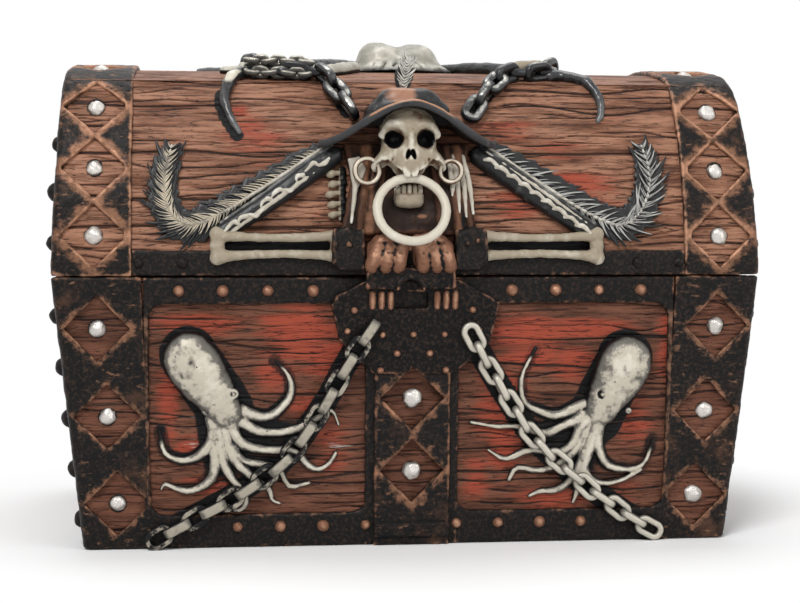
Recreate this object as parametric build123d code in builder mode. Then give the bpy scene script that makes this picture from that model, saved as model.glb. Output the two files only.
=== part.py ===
from build123d import *
import os
from math import asin, atan2, cos, radians, sin, sqrt

os.makedirs("parts", exist_ok=True)

# Treasure chest box with a hinged arched lid, a bitten ring and moulded pirate ornaments.
# All lengths are in millimetres. X runs along the front, Y from front to back, Z up from the flat underside.

# Chest sizes, over the bands
chest_width = 150.0
chest_depth = 100.0
base_height = 57.0
base_end_taper = 6.0
base_front_taper = 4.5
corner_radius = 2.5
seam_gap = 0.3
wall = 5.0
floor_thickness = 5.0
band_thickness = 1.4
overrun = 3.0

# Arched lid: a round front, a small shoulder and a flat crown
front_rise = 42.5
front_radius = 68.0
crown_rise = 5.0
shoulder_radius = 5.5
lid_end_taper = 1.8

# Bands and straps
strap_top_width = 18.5
strap_foot_width = 14.7
strap_side_leg = 12.0
lid_strap_width = 16.6
rim_band_height = 5.5
foot_band_height = 7.0
lid_rim_height = 5.2

# Diamond windows in the straps
diamond_half_width = 6.8
diamond_half_height = 6.8
diamond_edge_inset = 8.3
diamond_foot = 9.6
diamond_pitch = 18.4
lid_diamond_foot = 8.4
lid_diamond_pitch = 14.6
crown_diamond_pitch = 21.0

# Centre strap and lock
centre_backing_width = 18.6
centre_strap_width = 16.0
centre_strap_top = 40.0
centre_relief = 0.9
ledge_relief = 1.6
ledge_foot = 1.8
ledge_height = 3.2
centre_diamond_low = 16.0
centre_diamond_high = 31.5
plate_relief = 1.6
plate_shoulder_width = 19.6
plate_shoulder_top = 56.6
plate_wing_width = 34.6
plate_wing_top = 51.8
plate_hip_width = 31.0
plate_hip = 43.6
plate_foot_width = 17.0
plate_foot = 36.8
keyhole_width = 7.0
keyhole_foot = 50.8
keyhole_top = 54.2
fingertip_relief = 0.8
fingertip_width = 1.3
fingertip_pitch = 1.9
fingertip_inset = 4.6
fingertip_foot = 50.4
fingertip_top = 53.8

# Studs and rivets, all many-sided domes
stud_radius = 1.85
stud_height = 1.3
stud_sides = 6
stud_top_share = 0.42
rivet_radius = 1.15
rivet_height = 0.8
rivet_sides = 5
rivet_top_share = 0.5
side_rivet_radius = 1.9
side_rivet_height = 1.5
small_rivet_radius = 0.65
small_rivet_height = 0.45

# Chain links
link_bar = 0.95
link_length = 6.0
link_width = 3.5
link_pitch = 3.95
link_lift = 1.0
link_slope_share = 0.6

# Hinges
knuckle_radius = 1.9
pin_radius = 0.8
pin_clearance = 0.05
hinge_gap = 0.3
hinge_width = 14.0
hinge_spacing = 76.0
leaf_height = 7.0
leaf_thickness = 0.9
knuckle_count = 3
knuckle_sides = 10

# Ring and the mouth that bites it
ring_radius = 7.05
ring_tube = 1.2
ring_tilt = 24
ring_sides = 28
ring_tube_sides = 8
ring_bevel_share = 0.58
ring_pivot_height = 77.4
ring_pivot_reach = 52.0
mouth_clearance = 0.3

# Skull
figure_x = -0.9
skull_width = 13.6
skull_depth = 11.0
skull_chin = 77.9
skull_top = 95.0
skull_centre_reach = 46.5
skull_sides = 10
socket_radius = 2.15
socket_depth = 3.2
socket_spacing = 7.4
socket_height = 85.9
nose_height = 82.2
nose_width = 2.6
nose_rise = 2.8
tooth_width = 1.35
tooth_gap = 0.15
tooth_height = 1.7
tooth_depth = 1.2
tooth_count = 4
jaw_width = 6.6
jaw_foot = 71.9
jaw_height = 3.0
jaw_reach = 51.4
jaw_tooth_height = 1.2

# Hat
brim_half_span = 18.2
brim_tip_height = 84.2
brim_peak_height = 91.6
brim_thickness = 1.5
brim_reach = 55.0
brim_root = 36.0
brim_sides = 8
crown_width = 20.0
crown_depth = 15.0
crown_foot = 90.4
crown_height = 5.8
crown_reach = 43.5
crown_shares = ((0.0, 1.0), (0.35, 0.96), (0.75, 0.74), (1.0, 0.42))
small_plume_foot = 95.4
small_plume_top = 103.4
small_plume_width = 4.8
small_plume_thickness = 1.0
small_plume_reach = 39.0

# Earrings
earring_radius = 2.5
earring_tube = 0.45
earring_height = 79.0
earring_spacing = 17.6
earring_reach = 50.3
earring_sides = 12

# Coat and its trimmings
coat_relief = 3.2
coat_shoulder_half_width = 13.4
coat_shoulder_top = 84.0
coat_waist_half_width = 11.8
coat_waist_height = 77.3
coat_hem_half_width = 14.6
coat_foot = 65.4
lapel_relief = 4.1
lapel_top = 79.8
lapel_foot = 67.6
lapel_top_inset = 10.6
lapel_width = 3.0
lace_relief = 4.0
lace_width = 0.9
lace_pitch = 1.3
lace_count = 3
rib_count = 5
rib_length = 3.4
rib_radius = 0.75
rib_top = 78.2
rib_pitch = 2.1
rib_inset = 15.2
rib_shares = ((0.5, 0.7), (-0.1, 0.75), (-0.5, 1.0))

# Arms
upper_arm_radius = 2.1
sleeve_sides = 6
shoulder_offset = 15.6
shoulder_height = 81.6
elbow_offset = 38.6
elbow_height = 65.9
bone_radius = 0.95
bone_knob_radius = 1.7
bone_inner = 15.6
bone_outer = 39.6
bone_high = 65.2
bone_low = 61.4
bone_lift = 2.2
bone_sides = 6
cuff_relief = 4.4
cuff_inner = 9.4
cuff_outer = 15.4
cuff_foot = 58.4
cuff_top = 66.6
hand_inner = 0.9
hand_outer = 8.9
hand_foot = 58.8
hand_top = 64.3
hand_reach = 56.0
finger_count = 3
finger_sides = 5
hasp_half_width = 9.4
hasp_foot = 54.4
hasp_top = 58.8
hasp_reach = 53.8
hasp_clearance = 0.4
notch_radius = 2.1

# Plumes
plume_thickness = 1.7
plume_width = 4.1
barb_count = 12
small_barb_count = 10

# Octopuses
octopus_reach = 20.0
octopus_head_offset = 39.9
octopus_head_height = 29.6
mantle_radius = 6.3
arm_root_radius = 1.55
arm_tip_radius = 0.35
arm_lift = 0.5
arm_sides = 4
mantle_sides = 8
eye_radius = 0.75
eye_height = 1.0

# Kraken over the lid
kraken_head_width = 22.0
kraken_head_depth = 26.0
kraken_head_height = 6.4
kraken_head_shares = ((-0.3, 1.0), (0.25, 0.95), (0.6, 0.8), (0.88, 0.52), (1.0, 0.2))
kraken_brow_radius = 4.4
kraken_brow_height = 8.6
kraken_brow_spacing = 8.8
kraken_brow_sides = 8
kraken_brow_shares = ((0.4, 1.0), (0.8, 0.85), (1.0, 0.4))
kraken_arm_radius = 1.9
kraken_tip_radius = 0.5
kraken_arm_sides = 5
kraken_lift_share = 0.5

# Values that follow from the sizes above
lid_bottom = base_height + seam_gap
front_centre = front_radius - chest_depth / 2
shoulder_angle = asin(front_rise / front_radius)
shoulder_y = front_radius * cos(shoulder_angle) - front_centre
crown_radius = (shoulder_y**2 + crown_rise**2) / (2 * crown_rise)
crown_centre = lid_bottom + front_rise + crown_rise - crown_radius
lid_top = lid_bottom + front_rise + crown_rise
wood_radius = front_radius - band_thickness
wood_crown_radius = crown_radius - band_thickness
half_width = chest_width / 2
half_depth = chest_depth / 2
cavity_inset = band_thickness + wall
hinge_y = half_depth + knuckle_radius + hinge_gap
hinge_z = base_height + seam_gap / 2


# Blocks: the outer form moved inwards by an inset
def tapered(plane, low_half, high_half, low, high, length):
    """Upright trapezoid on a plane, run out to both sides of it."""
    with BuildPart() as form:
        with BuildSketch(plane):
            with BuildLine():
                Polyline((-low_half, low), (low_half, low), (high_half, high), (-high_half, high), close=True)
            make_face()
        extrude(amount=length, both=True)
    return form.part


def base_block(inset):
    """Block of the base: its corners are rounded outside the bands and sharp in the wood under them."""
    low_x = half_width - base_end_taper - inset
    low_y = half_depth - base_front_taper - inset
    across = tapered(Plane.XZ, low_x, half_width - inset, 0, base_height, half_depth + overrun)
    along = tapered(Plane.YZ, low_y, half_depth - inset, 0, base_height, half_width + overrun)
    with BuildPart() as block:
        add(across)
        add(along, mode=Mode.INTERSECT)
        if inset < band_thickness:
            upright = block.edges().filter_by(lambda edge: edge.bounding_box().size.Z > base_height / 2)
            fillet(upright, corner_radius - inset)
    return block.part


def lid_outline(inset):
    with BuildSketch(Plane.YZ) as outline:
        with Locations((front_centre, lid_bottom)):
            Circle(front_radius - inset)
        with Locations((-front_centre, lid_bottom)):
            Circle(front_radius - inset, mode=Mode.INTERSECT)
        with Locations((0, crown_centre)):
            Circle(crown_radius - inset, mode=Mode.INTERSECT)
        with Locations((0, lid_bottom + front_radius)):
            Rectangle(2 * front_radius, 2 * front_radius, mode=Mode.INTERSECT)
        if inset < shoulder_radius:
            fillet(outline.vertices().group_by(Axis.Y)[-1], shoulder_radius - inset)
    return outline.sketch


def lid_block(inset):
    outline = lid_outline(inset)
    high = lid_top + overrun
    low_x = half_width - inset
    ends = tapered(Plane.XZ, low_x, low_x - lid_end_taper, lid_bottom, high, half_depth + overrun)
    with BuildPart() as block:
        extrude(outline, amount=half_width + overrun, both=True)
        add(ends, mode=Mode.INTERSECT)
    return block.part


def layer(outer, inner):
    with BuildPart() as skin:
        add(outer)
        add(inner, mode=Mode.SUBTRACT)
    return skin.part


def seated(form, *under):
    with BuildPart() as fitted:
        add(form)
        add(list(under), mode=Mode.SUBTRACT)
    return fitted.part


def common(form, zone):
    with BuildPart() as kept:
        add(form)
        add(zone, mode=Mode.INTERSECT)
    return kept.part


def front_prism(points, near, far):
    """Outline of (x, z) points, run from y = -near back to y = -far."""
    with BuildPart() as prism:
        with BuildSketch(Plane.XZ.offset(far)):
            with BuildLine():
                Polyline(*points, close=True)
            make_face()
        extrude(amount=near - far)
    return prism.part


def front_box(x_low, x_high, z_low, z_high, near, far):
    corners = ((x_low, z_low), (x_high, z_low), (x_high, z_high), (x_low, z_high))
    return front_prism(corners, near, far)


# Places on the wooden faces: each plane looks outwards, raised by a lift
def front_plane(x, z, lift=0.0):
    if z <= base_height:
        lean = atan2(base_front_taper, base_height)
        out = Vector(0, -cos(lean), -sin(lean))
        reach = half_depth - band_thickness - base_front_taper * (1 - z / base_height)
        foot = Vector(x, -reach, z)
    else:
        rise = asin((z - lid_bottom) / wood_radius)
        out = Vector(0, -cos(rise), sin(rise))
        foot = Vector(x, front_centre, lid_bottom) + out * wood_radius
    return Plane(foot + out * lift, x_dir=(1, 0, 0), z_dir=out)


def crown_plane(x, y, lift=0.0):
    lean = asin(y / wood_crown_radius)
    out = Vector(0, sin(lean), cos(lean))
    foot = Vector(x, 0, crown_centre) + out * wood_crown_radius
    return Plane(foot + out * lift, x_dir=(1, 0, 0), z_dir=out)


def end_plane(end, y, z, lift=0.0):
    if z <= base_height:
        lean = atan2(base_end_taper, base_height)
        out = Vector(end * cos(lean), 0, -sin(lean))
        reach = half_width - band_thickness - base_end_taper * (1 - z / base_height)
    else:
        end_height = lid_top + overrun - lid_bottom
        lean = atan2(lid_end_taper, end_height)
        out = Vector(end * cos(lean), 0, sin(lean))
        reach = half_width - band_thickness - (z - lid_bottom) * lid_end_taper / end_height
    return Plane(Vector(end * reach, y, z) + out * lift, x_dir=(0, end, 0), z_dir=out)


def ellipse_ring(x, y, z, x_half, y_half, sides):
    turns = [radians(360 * (side + 0.5) / sides) for side in range(sides)]
    return [Vector(x + x_half * cos(turn), y + y_half * sin(turn), z) for turn in turns]


def faceted(rings):
    """Solid with flat facets through rings of corners, each ring with as many corners."""
    facets = [Face(Wire.make_polygon(rings[0])), Face(Wire.make_polygon(rings[-1]))]
    for lower, upper in zip(rings, rings[1:]):
        for side, corner in enumerate(lower):
            after = (side + 1) % len(lower)
            facets.append(Face(Wire.make_polygon((corner, lower[after], upper[after]))))
            facets.append(Face(Wire.make_polygon((corner, upper[after], upper[side]))))
    return Solid(Shell(facets))


def domes(places, radius, height, sides, top_share):
    top_radius = radius * top_share
    with BuildPart() as dome:
        add(
            faceted(
                [
                    ellipse_ring(0, 0, 0, radius, radius, sides),
                    ellipse_ring(0, 0, height, top_radius, top_radius, sides),
                ]
            )
        )
    with BuildPart() as heads:
        with Locations(*[Location(place) for place in places]):
            add(dome.part)
    return heads.part


def with_back(form):
    """The form and its mirror image on the back of the chest."""
    with BuildPart() as pair:
        add(form)
        mirror(form, about=Plane.XZ)
    return pair.part


def limb(stations, sides, flatness=1.0):
    """Tapered many-sided bar through (plane, radius) stations, each plane facing out of the wood."""
    last = len(stations) - 1
    turns = [radians(360 * (side + 0.5) / sides) for side in range(sides)]
    rings = []
    for index, (place, radius) in enumerate(stations):
        along = stations[min(index + 1, last)][0].origin - stations[max(index - 1, 0)][0].origin
        along = along.normalized()
        out = (place.z_dir - along * place.z_dir.dot(along)).normalized()
        across = along.cross(out)
        rings.append(
            [place.origin + out * (flatness * radius * cos(t)) + across * (radius * sin(t)) for t in turns]
        )
    with BuildPart() as bar:
        add(faceted(rings))
    return bar.part


def save(part, name):
    part.label = name
    export_step(part, f"parts/{name}.step")
    return part


base_outer = base_block(0)
base_wood = base_block(band_thickness)
base_skin = layer(base_outer, base_wood)
lid_outer = lid_block(0)
lid_wood = lid_block(band_thickness)
lid_skin = layer(lid_outer, lid_wood)

# Wooden box of the base
with BuildPart() as base_cavity:
    add(base_block(cavity_inset))
    with BuildSketch(Plane.XY.offset(floor_thickness)):
        Rectangle(chest_width, chest_depth)
    extrude(amount=base_height, mode=Mode.INTERSECT)
base_shell = save(layer(base_wood, base_cavity.part), "base_shell")

# Arched wooden lid, hollow from below
with BuildPart() as lid_shell:
    add(lid_wood)
    add(lid_block(cavity_inset), mode=Mode.SUBTRACT)
save(lid_shell.part, "lid_shell")


# Corner straps of the base, with diamond windows on the front and back legs
def corner_zone(end, face):
    points = (
        (end * (half_width - base_end_taper - strap_foot_width), 0),
        (end * (half_width + overrun), 0),
        (end * (half_width + overrun), base_height),
        (end * (half_width - strap_top_width), base_height),
    )
    zone = front_prism(points, half_depth + overrun, half_depth - strap_side_leg)
    if face > 0:
        zone = zone.mirror(Plane.XZ)
    return zone


diamond_heights = [diamond_foot + row * diamond_pitch for row in range(3)]


def strap_diamond_x(z):
    return half_width - base_end_taper * (1 - z / base_height) - diamond_edge_inset


def diamond(x, z):
    return (
        (x, z + diamond_half_height),
        (x + diamond_half_width, z),
        (x, z - diamond_half_height),
        (x - diamond_half_width, z),
    )


window_near = half_depth + overrun
window_far = half_depth - base_front_taper - overrun
base_zones = {}
base_straps = {}
for end, end_name in ((-1, "left"), (1, "right")):
    for face, face_name in ((-1, "front"), (1, "back")):
        zone = corner_zone(end, face)
        base_zones[end, face] = zone
        with BuildPart() as base_strap:
            add(base_skin)
            add(zone, mode=Mode.INTERSECT)
            for z in diamond_heights:
                window = front_prism(diamond(end * strap_diamond_x(z), z), window_near, window_far)
                if face > 0:
                    window = window.mirror(Plane.XZ)
                add(window, mode=Mode.SUBTRACT)
        base_straps[end, face] = save(base_strap.part, f"base_strap_{face_name}_{end_name}")

# Centre strap on its darker backing strap
centre_zone = front_box(
    -centre_backing_width / 2, centre_backing_width / 2, 0, base_height, window_near, window_far
)
centre_backing = save(common(base_skin, centre_zone), "centre_backing")


def relief(thickness, depth, zone):
    """Skin between the wood's depth and a raised face, inside a zone."""
    raised = base_block(-thickness)
    with BuildPart() as piece:
        add(raised)
        add(base_block(depth), mode=Mode.SUBTRACT)
        add(zone, mode=Mode.INTERSECT)
    return piece.part


relief_near = half_depth + plate_relief + overrun
with BuildPart() as centre_strap:
    half_strap = centre_strap_width / 2
    strap_zone = front_box(-half_strap, half_strap, 0, centre_strap_top, relief_near, window_far)
    add(relief(centre_relief, 0, strap_zone))
    ledge_zone = front_box(
        -half_strap, half_strap, ledge_foot, ledge_foot + ledge_height, relief_near, window_far
    )
    add(relief(ledge_relief, 0, ledge_zone))
    for z in (centre_diamond_low, centre_diamond_high):
        add(front_prism(diamond(0, z), relief_near, window_far), mode=Mode.SUBTRACT)
save(centre_strap.part, "centre_strap")

# Rim and foot bands between the straps
with BuildPart() as base_rim_bands:
    add(base_skin)
    with BuildSketch(Plane.XY.offset(base_height - rim_band_height)):
        Rectangle(chest_width + overrun, chest_depth + overrun)
    extrude(amount=rim_band_height, mode=Mode.INTERSECT)
    for zone in base_zones.values():
        add(zone, mode=Mode.SUBTRACT)
    add(centre_zone, mode=Mode.SUBTRACT)
save(base_rim_bands.part, "base_rim_bands")

with BuildPart() as base_foot_bands:
    add(base_skin)
    with BuildSketch(Plane.XY):
        Rectangle(chest_width + overrun, chest_depth + overrun)
    extrude(amount=foot_band_height, mode=Mode.INTERSECT)
    for zone in base_zones.values():
        add(zone, mode=Mode.SUBTRACT)
    add(centre_zone, mode=Mode.SUBTRACT)
save(base_foot_bands.part, "base_foot_bands")

# Lock plate with its wings and keyhole
plate_outline = [
    (plate_shoulder_width / 2, plate_shoulder_top),
    (plate_wing_width / 2, plate_wing_top),
    (plate_hip_width / 2, plate_hip),
    (plate_foot_width / 2, plate_foot),
]
plate_outline += [(-x, z) for x, z in reversed(plate_outline)]
plate_zone = front_prism(plate_outline, relief_near, window_far)
with BuildPart() as lock_plate:
    add(relief(plate_relief, band_thickness, plate_zone))
    add(base_rim_bands.part, mode=Mode.SUBTRACT)
    add(centre_backing, mode=Mode.SUBTRACT)
    add(centre_strap.part, mode=Mode.SUBTRACT)
    keyhole = front_box(
        -keyhole_width / 2, keyhole_width / 2, keyhole_foot, keyhole_top, relief_near, half_depth - overrun
    )
    add(keyhole, mode=Mode.SUBTRACT)
    add(front_prism(diamond(0, centre_diamond_high), relief_near, window_far), mode=Mode.SUBTRACT)
save(lock_plate.part, "lock_plate")

with BuildPart() as lock_fingertips:
    for end in (-1, 1):
        for finger in range(finger_count):
            x_low = end * (fingertip_inset + finger * fingertip_pitch) - fingertip_width / 2
            x_high = x_low + fingertip_width
            tip = front_box(x_low, x_high, fingertip_foot, fingertip_top, relief_near, window_far)
            add(relief(plate_relief + fingertip_relief, -plate_relief, tip))
save(lock_fingertips.part, "lock_fingertips")

# Studs on the wood inside the diamonds, front and back
stud_places = [front_plane(end * strap_diamond_x(z), z) for end in (-1, 1) for z in diamond_heights]
with BuildPart() as base_studs:
    add(with_back(domes(stud_places, stud_radius, stud_height, stud_sides, stud_top_share)))
    centre_places = [front_plane(0, z, band_thickness) for z in (centre_diamond_low, centre_diamond_high)]
    add(domes(centre_places, stud_radius, stud_height, stud_sides, stud_top_share))
save(base_studs.part, "base_studs")

# Rivets: along the rim, along the foot and on the straps' side legs
rim_rivet_z = base_height - rim_band_height / 2
foot_rivet_share = 0.62
foot_rivet_z = foot_band_height * foot_rivet_share
rim_rivet_shares = (0.28, 0.405, 0.53, 0.65)
foot_rivet_shares = (0.13, 0.25, 0.37, 0.49)
side_rivet_shares = (0.1, 0.29, 0.48, 0.67, 0.86)
leg_middle_share = 0.55
leg_middle = half_depth - strap_side_leg * leg_middle_share
back_rim_shares = (0.1, 0.28, 0.66)
foot_places = [front_plane(end * half_width * share, foot_rivet_z, band_thickness)
               for end in (-1, 1) for share in foot_rivet_shares]
rim_places = [front_plane(end * half_width * share, rim_rivet_z, band_thickness)
              for end in (-1, 1) for share in rim_rivet_shares]
back_places = [front_plane(end * half_width * share, rim_rivet_z, band_thickness)
               for end in (-1, 1) for share in back_rim_shares]
with BuildPart() as base_rivets:
    add(domes(rim_places, rivet_radius, rivet_height, rivet_sides, rivet_top_share))
    mirror(domes(back_places, rivet_radius, rivet_height, rivet_sides, rivet_top_share), about=Plane.XZ)
    add(domes(foot_places, rivet_radius, rivet_height, rivet_sides, rivet_top_share))
    side_places = []
    for share in side_rivet_shares:
        side_y = base_front_taper * (1 - share) - leg_middle
        side_places += [end_plane(end, side_y, base_height * share, band_thickness) for end in (-1, 1)]
    add(with_back(domes(side_places, side_rivet_radius, side_rivet_height, rivet_sides, rivet_top_share)))
save(base_rivets.part, "base_rivets")

plate_rivet_shares = ((0.0, 0.42), (0.1, 0.22), (0.2, 0.04), (0.19, 0.42), (0.36, 0.68), (0.4, 0.46))
plate_height = plate_shoulder_top - plate_foot
lock_places = []
for x_share, z_share in plate_rivet_shares:
    for end in (-1, 1) if x_share else (1,):
        x = end * plate_wing_width * x_share
        lock_places.append(front_plane(x, plate_foot + plate_height * z_share, band_thickness + plate_relief))
lock_rivets = save(
    domes(lock_places, small_rivet_radius, small_rivet_height, rivet_sides, rivet_top_share), "lock_rivets"
)


# Straps over the lid's ends, with a leg down each end face
with BuildPart() as end_panels:
    extrude(lid_outline(strap_side_leg), amount=half_width + overrun, both=True)


def lid_diamond_planes(x):
    places = []
    for row in range(3):
        rise = (lid_diamond_foot + row * lid_diamond_pitch) / front_radius
        places.append(front_plane(x, lid_bottom + wood_radius * sin(rise)))
    return places


def lid_windows(x):
    with BuildPart() as windows:
        with BuildSketch(*lid_diamond_planes(x)):
            with BuildLine():
                Polyline(*diamond(0, 0), close=True)
            make_face()
        extrude(amount=overrun, both=True)
        mirror(about=Plane.XZ)
        with BuildSketch(*[crown_plane(x, row * crown_diamond_pitch) for row in (-1, 0, 1)]):
            with BuildLine():
                Polyline(*diamond(0, 0), close=True)
            make_face()
        extrude(amount=overrun, both=True)
    return windows.part


lid_diamond_x = half_width - diamond_edge_inset - lid_end_taper / 3
lid_strap_inner = half_width - lid_strap_width
for end, end_name in ((-1, "left"), (1, "right")):
    with BuildPart() as lid_strap:
        add(lid_skin)
        with BuildSketch(Plane.YZ.offset(end * lid_strap_inner)):
            with Locations((0, lid_bottom + front_radius / 2)):
                Rectangle(chest_depth + overrun, front_radius)
        extrude(amount=end * (lid_strap_width + overrun), mode=Mode.INTERSECT)
        add(end_panels.part, mode=Mode.SUBTRACT)
        add(lid_windows(end * lid_diamond_x), mode=Mode.SUBTRACT)
    save(lid_strap.part, f"lid_strap_{end_name}")

with BuildPart() as between_straps:
    with BuildSketch(Plane.XY.offset(lid_bottom)):
        Rectangle(2 * lid_strap_inner, chest_depth + overrun)
    extrude(amount=lid_rim_height)
with BuildPart() as lid_rim_bands:
    add(lid_skin)
    with BuildSketch(Plane.XY.offset(lid_bottom)):
        Rectangle(chest_width + overrun, chest_depth + overrun)
    extrude(amount=lid_rim_height, mode=Mode.INTERSECT)
    add(seated(lid_skin, end_panels.part, between_straps.part), mode=Mode.SUBTRACT)
save(lid_rim_bands.part, "lid_rim_bands")

# Studs and rivets of the lid
lid_places = [place for end in (-1, 1) for place in lid_diamond_planes(end * lid_diamond_x)]
crown_places = [crown_plane(end * lid_diamond_x, row * crown_diamond_pitch)
                for end in (-1, 1) for row in (-1, 0, 1)]
with BuildPart() as lid_studs:
    add(with_back(domes(lid_places, stud_radius, stud_height, stud_sides, stud_top_share)))
    add(domes(crown_places, stud_radius, stud_height, stud_sides, stud_top_share))
save(lid_studs.part, "lid_studs")

lid_rivet_shares = (0.64, 0.76)
lid_side_shares = (0.16, 0.42, 0.68)
lid_rivet_places = [front_plane(end * half_width * share, lid_bottom + lid_rim_height / 2, band_thickness)
                    for end in (-1, 1) for share in lid_rivet_shares]
with BuildPart() as lid_rivets:
    add(with_back(domes(lid_rivet_places, rivet_radius, rivet_height, rivet_sides, rivet_top_share)))
    leg_places = []
    for share in lid_side_shares:
        rise = shoulder_angle * share
        leg_y = (front_radius - strap_side_leg / 2) * cos(rise) - front_centre
        leg_z = lid_bottom + (front_radius - strap_side_leg / 2) * sin(rise)
        leg_places += [end_plane(end, -leg_y, leg_z, band_thickness) for end in (-1, 1)]
    add(with_back(domes(leg_places, side_rivet_radius, side_rivet_height, rivet_sides, rivet_top_share)))
save(lid_rivets.part, "lid_rivets")


# Chain links: a six-sided oval with a slot, or without one where the link stands on edge
def link_form(slotted):
    x = link_length / 2
    y = link_width / 2
    flat = x - y * link_slope_share
    corners = [(x, 0), (flat, y), (-flat, y), (-x, 0), (-flat, -y), (flat, -y)]
    with BuildPart() as link:
        with BuildSketch(Plane.XY.offset(-link_bar / 2)):
            with BuildLine():
                Polyline(*corners, close=True)
            make_face()
            if slotted:
                Rectangle(link_length - 2 * link_bar, link_width - 2 * link_bar, mode=Mode.SUBTRACT)
        extrude(amount=link_bar)
    return link.part


def chain(places, first_edge_on):
    """Links on (point, along, outwards) places, turned by a quarter one after another."""
    lying = []
    standing = []
    for index, (point, along, out) in enumerate(places):
        if (index + first_edge_on) % 2:
            standing.append(Location(Plane(point, x_dir=along, z_dir=along.cross(out))))
        else:
            lying.append(Location(Plane(point, x_dir=along, z_dir=out)))
    with BuildPart() as links:
        with Locations(*standing):
            add(link_form(False))
        with Locations(*lying):
            add(link_form(True))
    return links.part


def chain_places(stations):
    """Evenly spaced (point, along, outwards) places on a smooth line through planes."""
    with BuildLine() as line:
        Spline(*[plane.origin for plane in stations])
    edge = line.edge()
    steps = round(edge.length / link_pitch)
    places = []
    for step in range(steps + 1):
        distance = edge.length * step / steps
        spot = edge.position_at(distance, position_mode=PositionMode.LENGTH)
        along = edge.tangent_at(distance, position_mode=PositionMode.LENGTH)
        nearest = min(stations, key=lambda plane: (plane.origin - spot).length)
        out = (nearest.z_dir - along * nearest.z_dir.dot(along)).normalized()
        places.append((spot, along, out))
    return places


left_chain_shares = (
    (0.125, 0.8), (0.199, 0.649), (0.273, 0.479), (0.365, 0.316),
    (0.497, 0.195), (0.637, 0.096), (0.707, 0.042),
)
right_chain_shares = (
    (0.165, 0.785), (0.227, 0.644), (0.3, 0.493), (0.385, 0.347),
    (0.487, 0.23), (0.612, 0.112), (0.7, 0.044),
)
front_chains = {}
chain_lift = band_thickness + link_lift
for end, end_name, shares in ((-1, "left", left_chain_shares), (1, "right", right_chain_shares)):
    stations = [front_plane(end * half_width * x, base_height * z, chain_lift) for x, z in shares]
    links = chain(chain_places(stations), 0)
    under = [base_wood, base_foot_bands.part, base_straps[end, -1], lock_plate.part, centre_backing]
    under += [centre_strap.part, lock_rivets, base_rivets.part]
    front_chains[end] = save(seated(links, *under), f"front_chain_{end_name}")


# Octopuses: a swelling mantle, and eight tapering arms that curl under the chain
left_arm_shares = (
    ((0.11, 0.04), (0.31, -0.07), (0.49, -0.09), (0.64, 0.03), (0.72, 0.17), (0.69, 0.34), (0.55, 0.5)),
    (
        (-0.12, -0.07), (-0.1, -0.29), (-0.18, -0.44), (-0.31, -0.53), (-0.46, -0.54), (-0.6, -0.46),
        (-0.65, -0.24),
    ),
    ((0.07, -0.06), (0.25, -0.18), (0.44, -0.26), (0.75, -0.24), (1.02, -0.1), (1.15, -0.04), (1.22, -0.19)),
    (
        (0.04, -0.04), (0.12, -0.26), (0.25, -0.4), (0.5, -0.45), (0.75, -0.45), (0.88, -0.6),
        (1.0, -0.66), (1.12, -0.6), (1.19, -0.49),
    ),
    ((-0.02, -0.07), (0.09, -0.4), (0.2, -0.56), (0.4, -0.6), (0.59, -0.66), (0.7, -0.84), (0.91, -0.81)),
    (
        (-0.06, -0.11), (-0.03, -0.34), (0.01, -0.57), (0.1, -0.75), (0.22, -0.9), (0.24, -1.02),
        (0.15, -1.09), (0.02, -1.0),
    ),
)
right_arm_shares = (
    (
        (-0.07, 0.02), (-0.21, -0.02), (-0.42, -0.11), (-0.62, -0.07), (-0.79, 0.04), (-0.82, 0.3),
        (-0.67, 0.61),
    ),
    ((0.06, -0.1), (0.03, -0.24), (0.02, -0.43), (0.11, -0.64), (0.31, -0.71), (0.52, -0.66), (0.63, -0.4)),
    (
        (-0.06, -0.05), (-0.2, -0.16), (-0.37, -0.23), (-0.57, -0.31), (-0.85, -0.23), (-1.08, -0.23),
        (-1.36, -0.18),
    ),
    (
        (-0.04, -0.07), (-0.18, -0.25), (-0.27, -0.43), (-0.42, -0.52), (-0.72, -0.48), (-0.98, -0.58),
        (-1.17, -0.48),
    ),
    (
        (-0.02, -0.1), (-0.14, -0.3), (-0.24, -0.5), (-0.41, -0.64), (-0.61, -0.71), (-0.85, -0.68),
        (-0.94, -0.81),
    ),
    ((0.03, -0.1), (-0.03, -0.35), (-0.12, -0.6), (-0.08, -0.78), (0.08, -0.86), (0.28, -0.83), (0.5, -0.72)),
)
mantle_lift_share = 0.35
mantle_flat_share = 0.62
eye_shares = (0.05, 0.14)
eye_lift_share = 0.55
mantle_radius_shares = (0.42, 0.5, 0.56, 0.8, 1.0, 0.86, 0.4)
left_mantle_shares = (
    (0.06, -0.12), (0.0, -0.02), (-0.07, 0.1), (-0.19, 0.3), (-0.32, 0.52), (-0.39, 0.68), (-0.42, 0.79),
)
right_mantle_shares = (
    (-0.02, -0.12), (0.03, -0.02), (0.09, 0.1), (0.19, 0.28), (0.28, 0.48), (0.33, 0.62), (0.36, 0.74),
)


def octopus(end, arm_shares, mantle_shares):
    def spot(x_share, z_share, lift):
        x = end * octopus_head_offset + octopus_reach * x_share
        return front_plane(x, octopus_head_height + octopus_reach * z_share, lift)

    mantle = [(spot(x, z, mantle_radius * share * mantle_lift_share), mantle_radius * share)
              for (x, z), share in zip(mantle_shares, mantle_radius_shares)]
    forms = [limb(mantle, mantle_sides, mantle_flat_share)]
    for arm in arm_shares:
        last = len(arm) - 1
        thinning = arm_tip_radius - arm_root_radius
        forms.append(limb([(spot(x, z, arm_lift), arm_root_radius + thinning * step / last)
                           for step, (x, z) in enumerate(arm)], arm_sides))
    eye_place = spot(-end * eye_shares[0], eye_shares[1], mantle_radius * eye_lift_share)
    forms.append(domes([eye_place], eye_radius, eye_height, stud_sides, stud_top_share))
    with BuildPart() as animal:
        add(forms)
    return animal.part


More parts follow.
